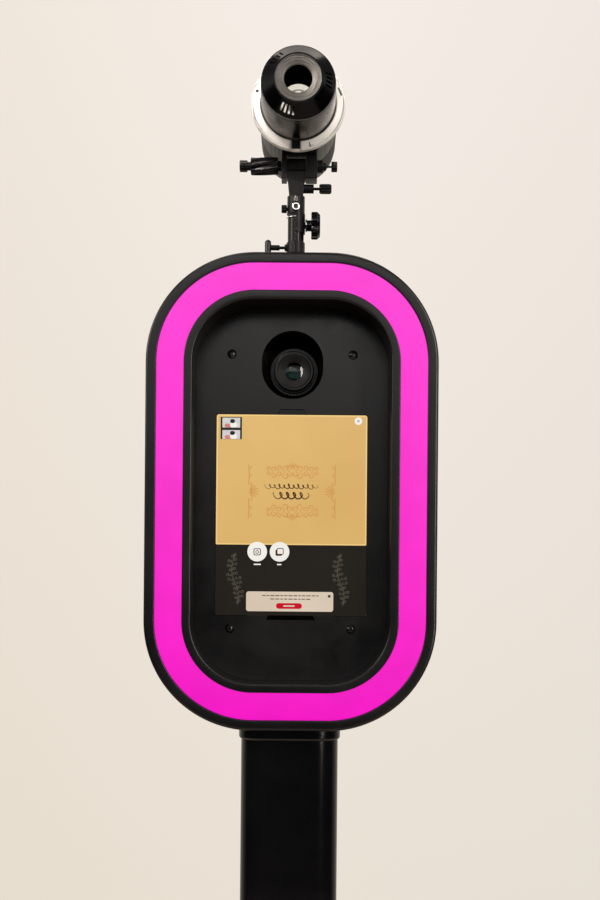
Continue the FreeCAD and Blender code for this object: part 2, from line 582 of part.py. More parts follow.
def bracket():
    """The swivelling bracket on the mast, its spigot ring and its three clamp knobs."""
    skirt = rod(BRACKET_R, mast_point(0, HEAD_Z + 355.4), mast_point(0, HEAD_Z + 382))
    skirt = skirt.cut(box(MAST_X - 20, MAST_X, MAST_Y - 20, MAST_Y + 20, HEAD_Z + 350, HEAD_Z + 381.5))
    block = rod(BRACKET_R - 0.6, mast_point(0, HEAD_Z + 381.5), mast_point(0, HEAD_Z + 405))
    stem = loft_stem(HEAD_Z + 404, TILT_Z - 9)
    knuckle = rod(10.5, mast_point(-12.5, TILT_Z), mast_point(12.5, TILT_Z))
    boss = rod(6.0, mast_point(0, UMBRELLA_Z), mast_point(23.7, UMBRELLA_Z))
    body = fused([skirt, block, stem, knuckle, boss])
    body = body.cut(rod(MAST_R + RUN, mast_point(0, HEAD_Z + 340), mast_point(0, HEAD_Z + 380)))
    body = body.cut(rod(4.0 + RUN, mast_point(8, STAR_Z), mast_point(16, STAR_Z)))
    body = body.cut(rod(2.5 + RUN, mast_point(-14, SPIGOT_Z), mast_point(-5.2, SPIGOT_Z)))
    body = body.cut(rod(1.9 + RUN, mast_point(15, UMBRELLA_Z), mast_point(25, UMBRELLA_Z)))
    body = body.cut(rod(4.0 + RUN, mast_point(-14, TILT_Z), mast_point(14, TILT_Z)))
    ring = pipe(5.3, 3.0, mast_point(0, SPIGOT_Z, -14), mast_point(0, SPIGOT_Z, 13))
    stub = pipe(4.4, 2.0, mast_point(0, HEAD_Z + 395.4, -9), mast_point(0, HEAD_Z + 403.4, -9))
    body = body.cut(rod(5.3, mast_point(0, SPIGOT_Z, -15), mast_point(0, SPIGOT_Z, 14)))
    body = body.cut(rod(4.4, mast_point(0, HEAD_Z + 395.4, -9), mast_point(0, HEAD_Z + 403.4, -9)))
    star = star_knob(mast_point(20.9, STAR_Z), mast_point(32.7, STAR_Z))
    neck = rod(7.3, mast_point(12.8, STAR_Z), mast_point(21, STAR_Z))
    screw_end = rod(4.0, mast_point(11.2, STAR_Z), mast_point(13, STAR_Z))
    small = fluted(5.5, mast_point(-19.6, SPIGOT_Z), mast_point(-12.3, SPIGOT_Z), 10, 0.6, 2.2)
    small_shank = rod(2.5, mast_point(-12.4, SPIGOT_Z), mast_point(-5.8, SPIGOT_Z))
    grip = fluted(6.8, mast_point(31, UMBRELLA_Z), mast_point(47.7, UMBRELLA_Z), 8, 0.9, 3.4)
    grip_shank = rod(1.9, mast_point(16, UMBRELLA_Z), mast_point(31.5, UMBRELLA_Z))
    save("tilt_bracket", body)
    save("spigot_ring", Part.makeCompound([ring, stub]))
    save("star_knob", fused([star, neck, screw_end]))
    save("spigot_knob", fused([small, small_shank]))
    save("umbrella_knob", fused([grip, grip_shank]))


def star_knob(start, end):
    """A five-armed knob with a tapered outer face."""
    over = (end - start).normalize()
    disc = rod(18.7, start, end)
    hollows = []
    for n in range(5):
        hollow = rod(9.0, start - over, end + over)
        hollow.translate(Y * 23.5)
        hollow.rotate(start, over, 36.0 + 72.0 * n)
        hollows.append(hollow)
    disc = disc.cut(hollows)
    shape = cone(18.7, 14.5, end - over * 3.6, end).fuse(rod(18.7, start, end - over * 3.6))
    return disc.common(shape)


FORK_LEFT, FORK_RIGHT = 19.9, 28.0
BOLT_END = 40.3


def tilt():
    """The fork let into the floor of the flash, and the tilt handle whose bolt goes through it."""
    pieces = []
    for x0, x1 in ((-FORK_LEFT, -12.8), (12.8, FORK_RIGHT)):
        pieces.append(rod(13.0, mast_point(x0, TILT_Z), mast_point(x1, TILT_Z)))
        pieces.append(box(MAST_X + x0, MAST_X + x1, MAST_Y - 13, MAST_Y + 13, TILT_Z - 19.5, TILT_Z + 14))
    pieces.append(box(MAST_X - FORK_LEFT, MAST_X + FORK_RIGHT, MAST_Y - 22, MAST_Y + 22, TILT_Z + 11.5, TILT_Z + 24))
    pieces.append(rod(8.5, mast_point(FORK_RIGHT - 1, TILT_Z), mast_point(36, TILT_Z)))
    pieces.append(rod(5.5, mast_point(35, TILT_Z), mast_point(BOLT_END - 0.3, TILT_Z)))
    fork = fused(pieces)
    fork = fork.cut(rod(FLASH_R - 2.5, V(FLASH_X, -60, FLASH_Z), V(FLASH_X, 80, FLASH_Z)))
    fork = fork.cut(rod(4.0 + RUN, mast_point(-22, TILT_Z), mast_point(BOLT_END + 1, TILT_Z)))
    handle = fluted(11.8, mast_point(-62, TILT_Z), mast_point(-24.3, TILT_Z), 8, 1.6, 6.0)
    shoulder = rod(7.2, mast_point(-24.4, TILT_Z), mast_point(-FORK_LEFT - GAP, TILT_Z))
    neck = rod(5.8, mast_point(-66.5, TILT_Z), mast_point(-61.5, TILT_Z))
    cap = rod(7.8, mast_point(-76.5, TILT_Z), mast_point(-66, TILT_Z))
    bolt = rod(4.0, mast_point(-FORK_LEFT - 1, TILT_Z), mast_point(BOLT_END, TILT_Z))
    thin = rod(1.4, mast_point(BOLT_END - 0.1, TILT_Z), mast_point(47.4, TILT_Z))
    knob = fluted(7.0, mast_point(47.2, TILT_Z), mast_point(55.2, TILT_Z), 10, 0.7, 2.6)
    save("tilt_yoke", fork)
    save("tilt_handle", fused([handle, shoulder, neck, cap, bolt, thin, knob]))
    return fork


# ---- flash head ---------------------------------------------------------------------------------
FAN_Z = FLASH_Z + 24.0


def flash_point(y, dx=0.0, dz=0.0):
    """A point given from the flash's axis."""
    return V(FLASH_X + dx, y, FLASH_Z + dz)


def flash_body(fork):
    """The flash's case with the fan's bearing arm, its mount ring with the release latch, and its lamp."""
    front = RING_FRONT + 9.5
    case = rod(FLASH_R, flash_point(front), flash_point(FLASH_BACK - 3))
    room = rod(FLASH_R - 2.5, flash_point(front + 3), flash_point(FLASH_BACK))
    ribs = []
    for n in range(5):
        y = FLASH_BACK - 60 + 9 * n
        ribs.append(pipe(FLASH_R + 1, FLASH_R - 1, flash_point(y), flash_point(y + 4)))
    case = case.cut(room)
    lamp_hole = rod(30.0, flash_point(front - 1), flash_point(front + 4))
    arm = box(FLASH_X - 50, FLASH_X + 50, FLASH_BACK - 23, FLASH_BACK - 20, FAN_Z - 3, FAN_Z + 3)
    arm = arm.common(rod(FLASH_R - 1, flash_point(0), flash_point(FLASH_BACK)))
    axle = rod(2.0, V(FLASH_X, FLASH_BACK - 21, FAN_Z), V(FLASH_X, FLASH_BACK - 10, FAN_Z))
    case = fused([case.cut(lamp_hole), arm, axle] + ribs).cut(fork)
    ring = pipe(61.4, 49.55, flash_point(RING_FRONT), flash_point(front - 3))
    flange = pipe(61.4, 42.0, flash_point(front - 3), flash_point(front))
    ring = soften(fused([ring, flange]), 1.6, on_plane_y(RING_FRONT))
    latch_z = FLASH_Z - 49.6
    latch = box(FLASH_X - 8.0, FLASH_X + 3.0, RING_FRONT - 4, RING_FRONT - GAP, latch_z - 10.5, latch_z - 0.5)
    key = box(FLASH_X - 5.0, FLASH_X, RING_FRONT - 1, RING_FRONT + 4, latch_z - 8.0, latch_z - 4.0)
    guide = box(FLASH_X - 5.3, FLASH_X + 0.3, RING_FRONT - 1, RING_FRONT + 4.4, latch_z - 11.4, latch_z - 3.7)
    base_disc = rod(42.0, flash_point(front - 3), flash_point(front)).fuse(
        rod(30.0, flash_point(front), flash_point(front + 6)))
    tube = Part.makeTorus(20.0, 3.2, flash_point(front - 12), Y)
    legs = [rod(2.4, flash_point(front - 12, dx, 14.14), flash_point(front - 2, dx, 14.14)) for dx in (-14.14, 14.14)]
    holder = rod(11.0, flash_point(front - 14), flash_point(front - 3))
    bulb = rod(7.0, flash_point(front - 37), flash_point(front - 13))
    bulb = bulb.makeFillet(5.0, [e for e in bulb.Edges if on_plane_y(front - 37)(e.BoundBox)])
    save("strobe_body", case)
    save("mount_ring", ring.cut(guide))
    save("release_latch", latch.fuse(key))
    save("flash_lamp", fused([base_disc, tube, holder, bulb] + legs))


def snoot():
    """The snoot that twists into the mount ring: its tube, vented cone and aperture ring."""
    back = RING_FRONT + 9.5 - 3 - 0.4
    joint_y = SNOOT_FRONT + 17.0
    tube = pipe(48.4, 46.4, flash_point(back - 18), flash_point(back))
    taper = cone(47.2, 48.4, flash_point(joint_y), flash_point(back - 18))
    taper = taper.cut(cone(45.2, 46.4, flash_point(joint_y), flash_point(back - 18)))
    tube = fused([tube, taper])
    shell = cone(31.1, 46.4, flash_point(SNOOT_FRONT), flash_point(joint_y))
    lip = pipe(46.4, 43.0, flash_point(joint_y), flash_point(joint_y + 4))
    shell = shell.cut(cone(29.1, 44.4, flash_point(SNOOT_FRONT), flash_point(joint_y)))
    lip = lip.common(rod(45.2, flash_point(joint_y), flash_point(joint_y + 5)))
    shell = fused([shell, lip])
    slope = math.degrees(math.atan2(46.4 - 31.1, 17.0))
    for middle in (135.0, 0.0, 250.0):
        for n in range(4):
            turn = middle + 7.6 * (n - 1.5)
            slot = box(-1.3, 1.3, -7.0, 7.0, -6.0, 6.0)
            slot.rotate(V(0, 0, 0), X, -slope)
            slot.translate(flash_point(SNOOT_FRONT + 8.6, 0, 38.6))
            slot.rotate(flash_point(0), Y, 90 - turn)
            shell = shell.cut(slot)
    plate = rod(29.1, flash_point(SNOOT_FRONT), flash_point(SNOOT_FRONT + 5))
    dish = cone(27.5, 24.5, flash_point(SNOOT_FRONT), flash_point(SNOOT_FRONT + 1.5))
    step = cone(24.0, 17.5, flash_point(SNOOT_FRONT + 1.4), flash_point(SNOOT_FRONT + 3.2))
    plate = plate.cut([dish, step, rod(17.5, flash_point(SNOOT_FRONT - 1), flash_point(SNOOT_FRONT + 6))])
    inner = pipe(28.0, 20.0, flash_point(SNOOT_FRONT + 5), flash_point(SNOOT_FRONT + 7))
    save("snoot_tube", tube)
    save("snoot_shell", shell)
    save("snoot_aperture", fused([plate, inner.common(rod(28.0, flash_point(-200), flash_point(0)))]))


def flash_controls():
    """The rear panel with its socket and display, the dial, the button, and the fan behind its grille."""
    front = FLASH_BACK - 3
    plate = rod(51.0, flash_point(front), flash_point(FLASH_BACK))
    for n in range(6):
        plate = plate.cut(slab(44.0, 3.0, 1.4, front - 1, FLASH_BACK + 1, FLASH_X, FLASH_Z + 40 - 5 * n))
    display = slab(34.0, 14.0, 2.0, FLASH_BACK - 0.8, FLASH_BACK + 1, FLASH_X + 22, FLASH_Z + 3)
    plate = plate.cut(display)
    socket = slab(27.0, 20.0, 3.0, front - 14, front, FLASH_X - 16, FLASH_Z - 30)
    plate = fused([plate, socket]).cut(slab(24.0, 17.0, 3.0, front - 12, FLASH_BACK + 1, FLASH_X - 16, FLASH_Z - 30))
    pins = [slab(2.0, 4.0, 0.5, front - 12, front, FLASH_X - 16 + dx, FLASH_Z - 30) for dx in (-7, 0, 7)]
    fuse_cap = fluted(6.0, flash_point(FLASH_BACK, 14, -32), flash_point(FLASH_BACK + 6, 14, -32), 8, 0.5, 2.0)
    plate = plate.fuse(pins + [fuse_cap])
    dial_at = flash_point(FLASH_BACK, -22, 2)
    button_at = flash_point(FLASH_BACK, 22, -14)
    plate = plate.cut(rod(3.0 + RUN, dial_at - Y * 6, dial_at + Y))
    plate = plate.cut(rod(5.3, button_at - Y * 6, button_at + Y))
    dial = fused([fluted(12.0, dial_at + Y * GAP, dial_at + Y * 11, 18, 0.8, 2.4),
                  rod(3.0, dial_at - Y * 5, dial_at + Y)])
    dial = dial.cut(box(dial_at.x - 0.6, dial_at.x + 0.6, FLASH_BACK + 10, FLASH_BACK + 12, FLASH_Z + 6, FLASH_Z + 13))
    button = fused([rod(5.0, button_at - Y * 5, button_at + Y * 2.2)])
    fan_at = V(FLASH_X, FLASH_BACK - 17, FAN_Z)
    hub = rod(8.0, fan_at - Y * 2.5, fan_at + Y * 8.5).cut(rod(2.0 + RUN, fan_at - Y * 5, fan_at + Y * 7.3))
    blades = []
    for n in range(7):
        blade = box(fan_at.x - 0.8, fan_at.x + 0.8, fan_at.y - 1, fan_at.y + 7, fan_at.z + 7, fan_at.z + 22)
        blade.rotate(V(fan_at.x, fan_at.y + 3, fan_at.z + 14), Z, 35)
        blade.rotate(fan_at, Y, 360.0 * n / 7)
        blades.append(blade)
    save("strobe_panel", plate)
    save("strobe_dial", dial)
    save("test_button", button)
    save("fan_rotor", fused([hub] + blades))


# ---- output -------------------------------------------------------------------------------------
def save(name, shape):
    """Write one piece and print what it measures."""
    solids = shape.Solids
    clean = solids[0] if len(solids) == 1 else Part.makeCompound(solids)
    clean.exportStep(f"parts/{name}.step")
    state = "ok" if clean.isValid() else "NOT VALID"
    print(f"{name:18s} {len(solids):3d} solids {clean.Volume / 1000:9.1f} cm3 {state}")


def main():
    """Make every group of pieces."""
    os.makedirs("parts", exist_ok=True)
    base()
    post()
    bolts = collar()
    openings = mast()
    head_shell(bolts, openings)
    light()
    inner_frame()
    panel()
    tablet()
    chassis()
    camera()
    power_supply()
    rear_door()
    bracket()
    fork = tilt()
    flash_body(fork)
    snoot()
    flash_controls()


main()
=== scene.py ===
"""Looks of a free-standing photo booth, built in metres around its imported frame.

Each sub-assembly is a class that shapes its pieces and dresses them. Each finish is a frozen dataclass
named for the real surface it stands for.
"""
import json
import logging
import math
from collections.abc import Callable, Iterable, Sequence
from dataclasses import dataclass, field
from enum import Enum
from typing import Any

import bmesh
import bpy
from mathutils import Matrix, Vector

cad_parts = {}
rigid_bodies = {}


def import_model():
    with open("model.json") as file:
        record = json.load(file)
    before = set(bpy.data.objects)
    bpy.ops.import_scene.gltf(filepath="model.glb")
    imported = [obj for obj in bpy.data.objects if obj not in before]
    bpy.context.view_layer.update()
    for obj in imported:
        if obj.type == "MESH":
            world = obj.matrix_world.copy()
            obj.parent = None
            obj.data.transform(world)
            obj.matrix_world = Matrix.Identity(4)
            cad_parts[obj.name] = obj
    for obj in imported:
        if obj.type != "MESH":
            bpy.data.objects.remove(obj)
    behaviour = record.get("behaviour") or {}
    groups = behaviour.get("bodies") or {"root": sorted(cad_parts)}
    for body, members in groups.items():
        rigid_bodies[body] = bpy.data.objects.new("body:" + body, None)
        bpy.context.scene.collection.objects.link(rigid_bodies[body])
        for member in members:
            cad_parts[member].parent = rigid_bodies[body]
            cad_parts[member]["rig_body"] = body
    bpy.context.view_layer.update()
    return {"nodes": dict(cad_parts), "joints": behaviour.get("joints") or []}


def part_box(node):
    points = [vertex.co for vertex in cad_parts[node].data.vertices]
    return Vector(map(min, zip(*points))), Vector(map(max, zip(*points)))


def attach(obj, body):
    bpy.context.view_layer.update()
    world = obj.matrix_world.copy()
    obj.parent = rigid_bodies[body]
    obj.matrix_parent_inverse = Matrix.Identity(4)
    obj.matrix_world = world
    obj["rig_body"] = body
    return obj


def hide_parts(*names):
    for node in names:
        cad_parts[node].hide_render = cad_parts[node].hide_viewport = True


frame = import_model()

LOG = logging.getLogger("booth")
MM = 0.001
SAME_POINT = 0.002 * MM
X_AXIS, Y_AXIS, Z_AXIS = Vector((1, 0, 0)), Vector((0, 1, 0)), Vector((0, 0, 1))
Point2 = tuple[float, float]
Profile = Sequence[Sequence[float]]
Lobe = Callable[[float, float], float]
HEAD_LOW, HEAD_HIGH = Vector(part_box("outer_frame")[0]), Vector(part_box("outer_frame")[1])
HEAD_SIZE = (HEAD_HIGH.x - HEAD_LOW.x, HEAD_HIGH.z - HEAD_LOW.z)
HEAD_CENTRE = Vector((0.0, 0.0, (HEAD_LOW.z + HEAD_HIGH.z) / 2))
HEAD_RADIUS = 138 * MM
FRONT_Y = HEAD_LOW.y


# ---- colour and nodes ---------------------------------------------------------------------------
def linear(code: str) -> tuple[float, float, float, float]:
    """Turn an sRGB hex colour into linear light.

    Args:
        code: six hex digits, such as "c8a060".

    Returns:
        Red, green, blue and a full alpha.
    """
    parts = [int(code[n:n + 2], 16) / 255 for n in (0, 2, 4)]
    light = [c / 12.92 if c <= 0.04045 else ((c + 0.055) / 1.055) ** 2.4 for c in parts]
    return light[0], light[1], light[2], 1.0


def add(tree: bpy.types.NodeTree, kind: str, settings: dict[str, Any] | None = None,
        links: dict[Any, bpy.types.NodeSocket] | None = None) -> bpy.types.Node:
    """Add one node with its settings and its incoming links.

    Args:
        tree: the node tree.
        kind: the node's Blender type.
        settings: attribute or input names with their values; "stops" takes a colour ramp's
            positions with their sRGB colours, the first at the low end.
        links: input names or numbers, with the sockets that feed them.

    Returns:
        The new node.
    """
    made = tree.nodes.new(kind)
    for key, value in (settings or {}).items():
        if key == "stops":
            elements = made.color_ramp.elements
            for _ in value[len(elements):]:
                elements.new(0.5)
            for element, (position, code) in zip(elements, value):
                element.position = position
                element.color = linear(code)
        elif hasattr(made, key):
            setattr(made, key, value)
        else:
            made.inputs[key].default_value = value
    for key, socket in (links or {}).items():
        tree.links.new(socket, made.inputs[key])
    return made


# ---- finishes -----------------------------------------------------------------------------------
@dataclass(frozen=True)
class Finish:
    """A surface: its colour, gloss and the size of its grain, varied by slow and fine noise."""

    name: str
    colour: str = "202020"
    worn: str = "2c2a2a"
    roughness: float = 0.4
    spread: float = 0.08
    grain_mm: float = 0.6
    bump_mm: float = 0.02
    patch_mm: float = 60.0
    metallic: float = 0.0
    specular: float = 0.5

    def material(self) -> bpy.types.Material:
        """Return this finish's material, made once."""
        found = bpy.data.materials.get(self.name)
        if found is not None:
            return found
        made = bpy.data.materials.new(self.name)
        made.use_nodes = True
        tree = made.node_tree
        tree.nodes.clear()
        shader = add(tree, "ShaderNodeBsdfPrincipled", {
            "Metallic": self.metallic, "Specular IOR Level": self.specular})
        self.surface(tree, shader)
        add(tree, "ShaderNodeOutputMaterial", links={"Surface": shader.outputs["BSDF"]})
        return made

    def surface(self, tree: bpy.types.NodeTree, shader: bpy.types.Node) -> None:
        """Feed the shader its colour, roughness and bump.

        Args:
            tree: the material's nodes.
            shader: the principled shader.
        """
        spot = add(tree, "ShaderNodeTexCoord").outputs["Object"]
        patch = add(tree, "ShaderNodeTexNoise", {
            "Scale": 1 / (self.patch_mm * MM), "Detail": 5.0, "Roughness": 0.6},
            {"Vector": spot}).outputs["Fac"]
        grain = add(tree, "ShaderNodeTexNoise", {"Scale": 1 / (self.grain_mm * MM), "Detail": 2.0},
                    {"Vector": spot})
        tint = add(tree, "ShaderNodeValToRGB", {"stops": [(0.35, self.colour), (0.75, self.worn)]},
                   {"Fac": patch})
        gloss = add(tree, "ShaderNodeMapRange", {
            "From Min": 0.3, "From Max": 0.7,
            "To Min": self.roughness - self.spread, "To Max": self.roughness + self.spread},
            {"Value": patch})
        bump = add(tree, "ShaderNodeBump", {"Strength": 0.35, "Distance": self.bump_mm * MM},
                   {"Height": grain.outputs["Fac"]})
        tree.links.new(tint.outputs["Color"], shader.inputs["Base Color"])
        tree.links.new(gloss.outputs["Result"], shader.inputs["Roughness"])
        tree.links.new(bump.outputs["Normal"], shader.inputs["Normal"])


@dataclass(frozen=True)
class LitAcrylic(Finish):
    """Opal acrylic lit from behind: its light changes colour with height and blooms over each lamp."""

    top: str = "fc3ed2"
    bottom: str = "ee00c0"
    unlit: str = "3a1030"
    power: float = 1.0
    lamp_mm: float = 42.0

    def surface(self, tree: bpy.types.NodeTree, shader: bpy.types.Node) -> None:
        """Give the light its colour by height and its blooms along the strip.

        Args:
            tree: the material's nodes.
            shader: the principled shader.
        """
        spot = add(tree, "ShaderNodeTexCoord").outputs["Object"]
        split = add(tree, "ShaderNodeSeparateXYZ", links={"Vector": spot})
        rise = add(tree, "ShaderNodeMapRange", {"From Min": HEAD_LOW.z, "From Max": HEAD_HIGH.z},
                   {"Value": split.outputs["Z"]})
        tint = add(tree, "ShaderNodeValToRGB", {"stops": [(0.0, self.bottom), (1.0, self.top)]},
                   {"Fac": rise.outputs["Result"]})
        wave = add(tree, "ShaderNodeTexNoise", {"Scale": 1 / (self.lamp_mm * MM), "Detail": 1.0},
                   {"Vector": spot})
        blooms = add(tree, "ShaderNodeMapRange", {
            "From Min": 0.25, "From Max": 0.75, "To Min": 0.95 * self.power, "To Max": 1.06 * self.power},
            {"Value": wave.outputs["Fac"]})
        shader.inputs["Base Color"].default_value = linear(self.unlit)
        shader.inputs["Roughness"].default_value = self.roughness
        tree.links.new(tint.outputs["Color"], shader.inputs["Emission Color"])
        tree.links.new(blooms.outputs["Result"], shader.inputs["Emission Strength"])


@dataclass(frozen=True)
class Glow(Finish):
    """A patch of a lit display, a little uneven like a printed screen seen through its glass."""

    power: float = 1.0
    unlit: str = "050505"

    def surface(self, tree: bpy.types.NodeTree, shader: bpy.types.Node) -> None:
        """Send out the display's colour, shaded slowly from patch to patch.

        Args:
            tree: the material's nodes.
            shader: the principled shader.
        """
        spot = add(tree, "ShaderNodeTexCoord").outputs["Object"]
        patch = add(tree, "ShaderNodeTexNoise", {"Scale": 1 / (self.patch_mm * MM), "Detail": 3.0},
                    {"Vector": spot})
        tint = add(tree, "ShaderNodeValToRGB", {"stops": [(0.3, self.colour), (0.7, self.worn)]},
                   {"Fac": patch.outputs["Fac"]})
        shader.inputs["Base Color"].default_value = linear(self.unlit)
        shader.inputs["Roughness"].default_value = self.roughness
        shader.inputs["Emission Strength"].default_value = self.power
        tree.links.new(tint.outputs["Color"], shader.inputs["Emission Color"])


@dataclass(frozen=True)
class ClearGlass(Finish):
    """Polished glass with a thin coating that tints what it mirrors."""

    tint: str = "a0b8b0"
    index: float = 1.5

    def surface(self, tree: bpy.types.NodeTree, shader: bpy.types.Node) -> None:
        """Let light through, with a faintly uneven polish.

        Args:
            tree: the material's nodes.
            shader: the principled shader.
        """
        spot = add(tree, "ShaderNodeTexCoord").outputs["Object"]
        patch = add(tree, "ShaderNodeTexNoise", {"Scale": 1 / (self.patch_mm * MM)}, {"Vector": spot})
        gloss = add(tree, "ShaderNodeMapRange", {"To Min": 0.0, "To Max": self.roughness},
                    {"Value": patch.outputs["Fac"]})
        shader.inputs["Base Color"].default_value = linear(self.tint)
        shader.inputs["Transmission Weight"].default_value = 1.0
        shader.inputs["IOR"].default_value = self.index
        tree.links.new(gloss.outputs["Result"], shader.inputs["Roughness"])


# After its name, each finish gives two colours, the roughness and how far it varies, then the grain, the
# depth of its bump and the size of its patches, in millimetres. Turned, plated and anodised metal has a
# finer grain than 0.3 mm, and is drawn at that size because a finer one wouldn't show.

# Sprayed ABS moulding: an even, deep black that mirrors bright things softly.
SATIN_SHELL = Finish("satin_black_sprayed_abs", "0b0a0c", "100f11", 0.32, 0.05, 0.5, 0.012, 90,
                     specular=0.45)
# Painted board: a flat black with a dusty bloom.
PANEL_PAINT = Finish("flat_black_painted_panel", "070607", "0f0d0d", 0.3, 0.08, 0.5, 0.02, 70)
# Stoved paint on steel tube: a shiny black with a faint orange peel.
TUBE_PAINT = Finish("stoved_black_steel_tube", "0b0b0e", "111114", 0.17, 0.04, 3.0, 0.03, 120)
# Powder coat on plate: pebbled and dull.
POWDER_COAT = Finish("black_powder_coat", "151515", "1d1c1c", 0.5, 0.06, 0.9, 0.09, 80)
# Galvanised steel: a cool grey with soft spangle.
ZINC_SHEET = Finish("galvanised_steel_sheet", "8d9092", "a6a8a8", 0.38, 0.08, 6.0, 0.02, 14, metallic=1.0)
# Moulded rubber: matt and a little chalky.
RUBBER = Finish("moulded_black_rubber", "1b1b1b", "262525", 0.8, 0.05, 0.5, 0.05, 25)
# Oiled black oxide on screws: nearly black, with a metal shine.
BLACK_OXIDE = Finish("black_oxide_steel", "2a2a2c", "3c3c3e", 0.24, 0.05, 0.3, 0.01, 9, metallic=0.8)
# Zinc plate on hardware: pale grey with a dry shine.
ZINC_PLATE = Finish("zinc_plated_steel", "a9abac", "c0bfba", 0.3, 0.07, 0.3, 0.01, 8, metallic=1.0)
# White enamel: a plain white that scatters light.
WHITE_TRAY = Finish("white_enamelled_tray", "d8d8d6", "e6e6e4", 0.5, 0.06, 0.6, 0.02, 40)
# White-printed circuit tape: matt, tinted pink as painted light from its own magenta lamps.
LAMP_STRIP = Finish("lamp_strip_with_painted_pink_glow", "d6c8d4", "e6d8e4", 0.4, 0.06, 0.5, 0.02, 15)
# Opal acrylic: an even magenta light with no lamp showing through.
DIFFUSER = LitAcrylic("lit_opal_acrylic", roughness=0.4, specular=0.3)
# Bead-blasted aluminium: a fine, even grey sheen.
TABLET_BACK = Finish("bead_blasted_aluminium", "68696c", "747578", 0.38, 0.04, 0.3, 0.01, 40, metallic=1.0)
# Glass with a black backing: a black mirror.
TOUCH_GLASS = Finish("black_backed_touch_glass", "040405", "060607", 0.08, 0.03, 2.0, 0.0, 50)
# Moulded nylon: a dark grey with a dry sheen.
NYLON = Finish("black_moulded_nylon", "18181a", "232325", 0.46, 0.06, 0.35, 0.03, 20)
# Moulded rubber skin with a pebble grain: a dead black.
CAMERA_GRAIN = Finish("pebbled_camera_skin", "0a0a0a", "111111", 0.6, 0.06, 0.7, 0.09, 18, specular=0.15)
# Turned and anodised grey: its ribs catch fine circles of light.
LENS_TRIM = Finish("turned_grey_lens_ring", "232120", "302e2c", 0.32, 0.03, 0.25, 0.004, 12, metallic=0.3)
# Black-anodised aluminium: a satin black.
LENS_BLACK = Finish("black_anodised_lens", "0e0e0f", "151517", 0.3, 0.03, 0.3, 0.004, 12, specular=0.4)
# Nickel plate on the lock: a bright, slightly soft mirror.
LOCK_CHROME = Finish("plated_lock", "c9c9ca", "dcdcda", 0.16, 0.05, 0.3, 0.01, 6, metallic=1.0)
# Painted die casting: a slightly uneven satin black.
CAST_BLACK = Finish("black_painted_casting", "0c0b0d", "151416", 0.38, 0.07, 0.8, 0.05, 14, specular=0.22)
# A dead black. On the sheets inside the head it is painted shade, so nothing there catches the eye through
# its openings; the flash's lamp socket wears it too.
BLACK_AND_PAINTED_SHADE = Finish("dead_black_and_painted_shade", "060606", "0a0a0a", 0.75, 0.06, 0.6, 0.03, 30, specular=0.1)
# Black-anodised tube: a thin streak of light down a black tube.
MAST_ANODISED = Finish("black_anodised_mast", "080708", "0f0d0f", 0.17, 0.05, 0.3, 0.01, 20, specular=0.22)
# Polished chrome plate: a clean mirror.
CHROME = Finish("polished_chrome", "e4e4e4", "f2f2f0", 0.09, 0.03, 0.3, 0.0, 5, metallic=1.0)
# Moulded black plastic: shiny flutes with thin bright edges.
KNOB_PLASTIC = Finish("black_moulded_knob", "08080a", "101013", 0.22, 0.06, 0.4, 0.03, 12, specular=0.4)
# Metallic paint: a warm dark grey that turns lighter towards the lamps.
STROBE_GREY = Finish("grey_metallic_paint", "454341", "555250", 0.42, 0.05, 0.4, 0.02, 30, metallic=0.5)
# Moulded ABS: dark grey and matt.
STROBE_PANEL = Finish("black_control_panel", "1a1a1c", "242426", 0.45, 0.05, 0.4, 0.02, 20)
# Satin-turned aluminium: almost white, with soft shading.
RING_ALUMINIUM = Finish("satin_turned_aluminium", "f6f4f0", "fcfaf6", 0.34, 0.04, 0.3, 0.01, 12,
                        metallic=0.3)
# Dark polished tube: it mirrors the room in soft bands.
DARK_POLISH = Finish("dark_polished_tube", "4e4b4a", "5c5857", 0.25, 0.04, 0.3, 0.005, 25, metallic=1.0)
# Stoved enamel: a deep black with a soft shine.
GLOSS_BLACK = Finish("satin_black_enamel", "030304", "060608", 0.2, 0.04, 0.5, 0.01, 20, specular=0.15)
# Grey-anodised aluminium: a warm grey with soft circles.
APERTURE_GREY = Finish("grey_anodised_aperture_ring", "5f5c59", "6f6c68", 0.38, 0.05, 0.3, 0.01, 12,
                       metallic=0.6)
# Lit bars of a small display: a pale green light.
DISPLAY_GREEN = Glow("lit_display_bars", "9fe8c0", "8fdcb4", 0.2, patch_mm=6, power=0.9)
# Opal lamp glass with its modelling light on: a warm white.
LAMP_GLASS = Glow("warm_opal_lamp_glass", "f6efe2", "efe6d6", 0.2, patch_mm=6, power=0.8)
# Coatings deep in the lens: a green and a violet mirror.
COATED_GREEN = Finish("green_coated_element", "06211f", "0c3a38", 0.05, 0.02, 2.0, 0.0, 6, metallic=1.0)
COATED_VIOLET = Finish("violet_coated_element", "1a0c22", "2c1436", 0.05, 0.02, 2.0, 0.0, 4, metallic=1.0)
# Coated front element: clear, with a green cast.
LENS_GLASS = ClearGlass("coated_lens_glass", roughness=0.03, patch_mm=10, specular=0.15, tint="6fa09a")

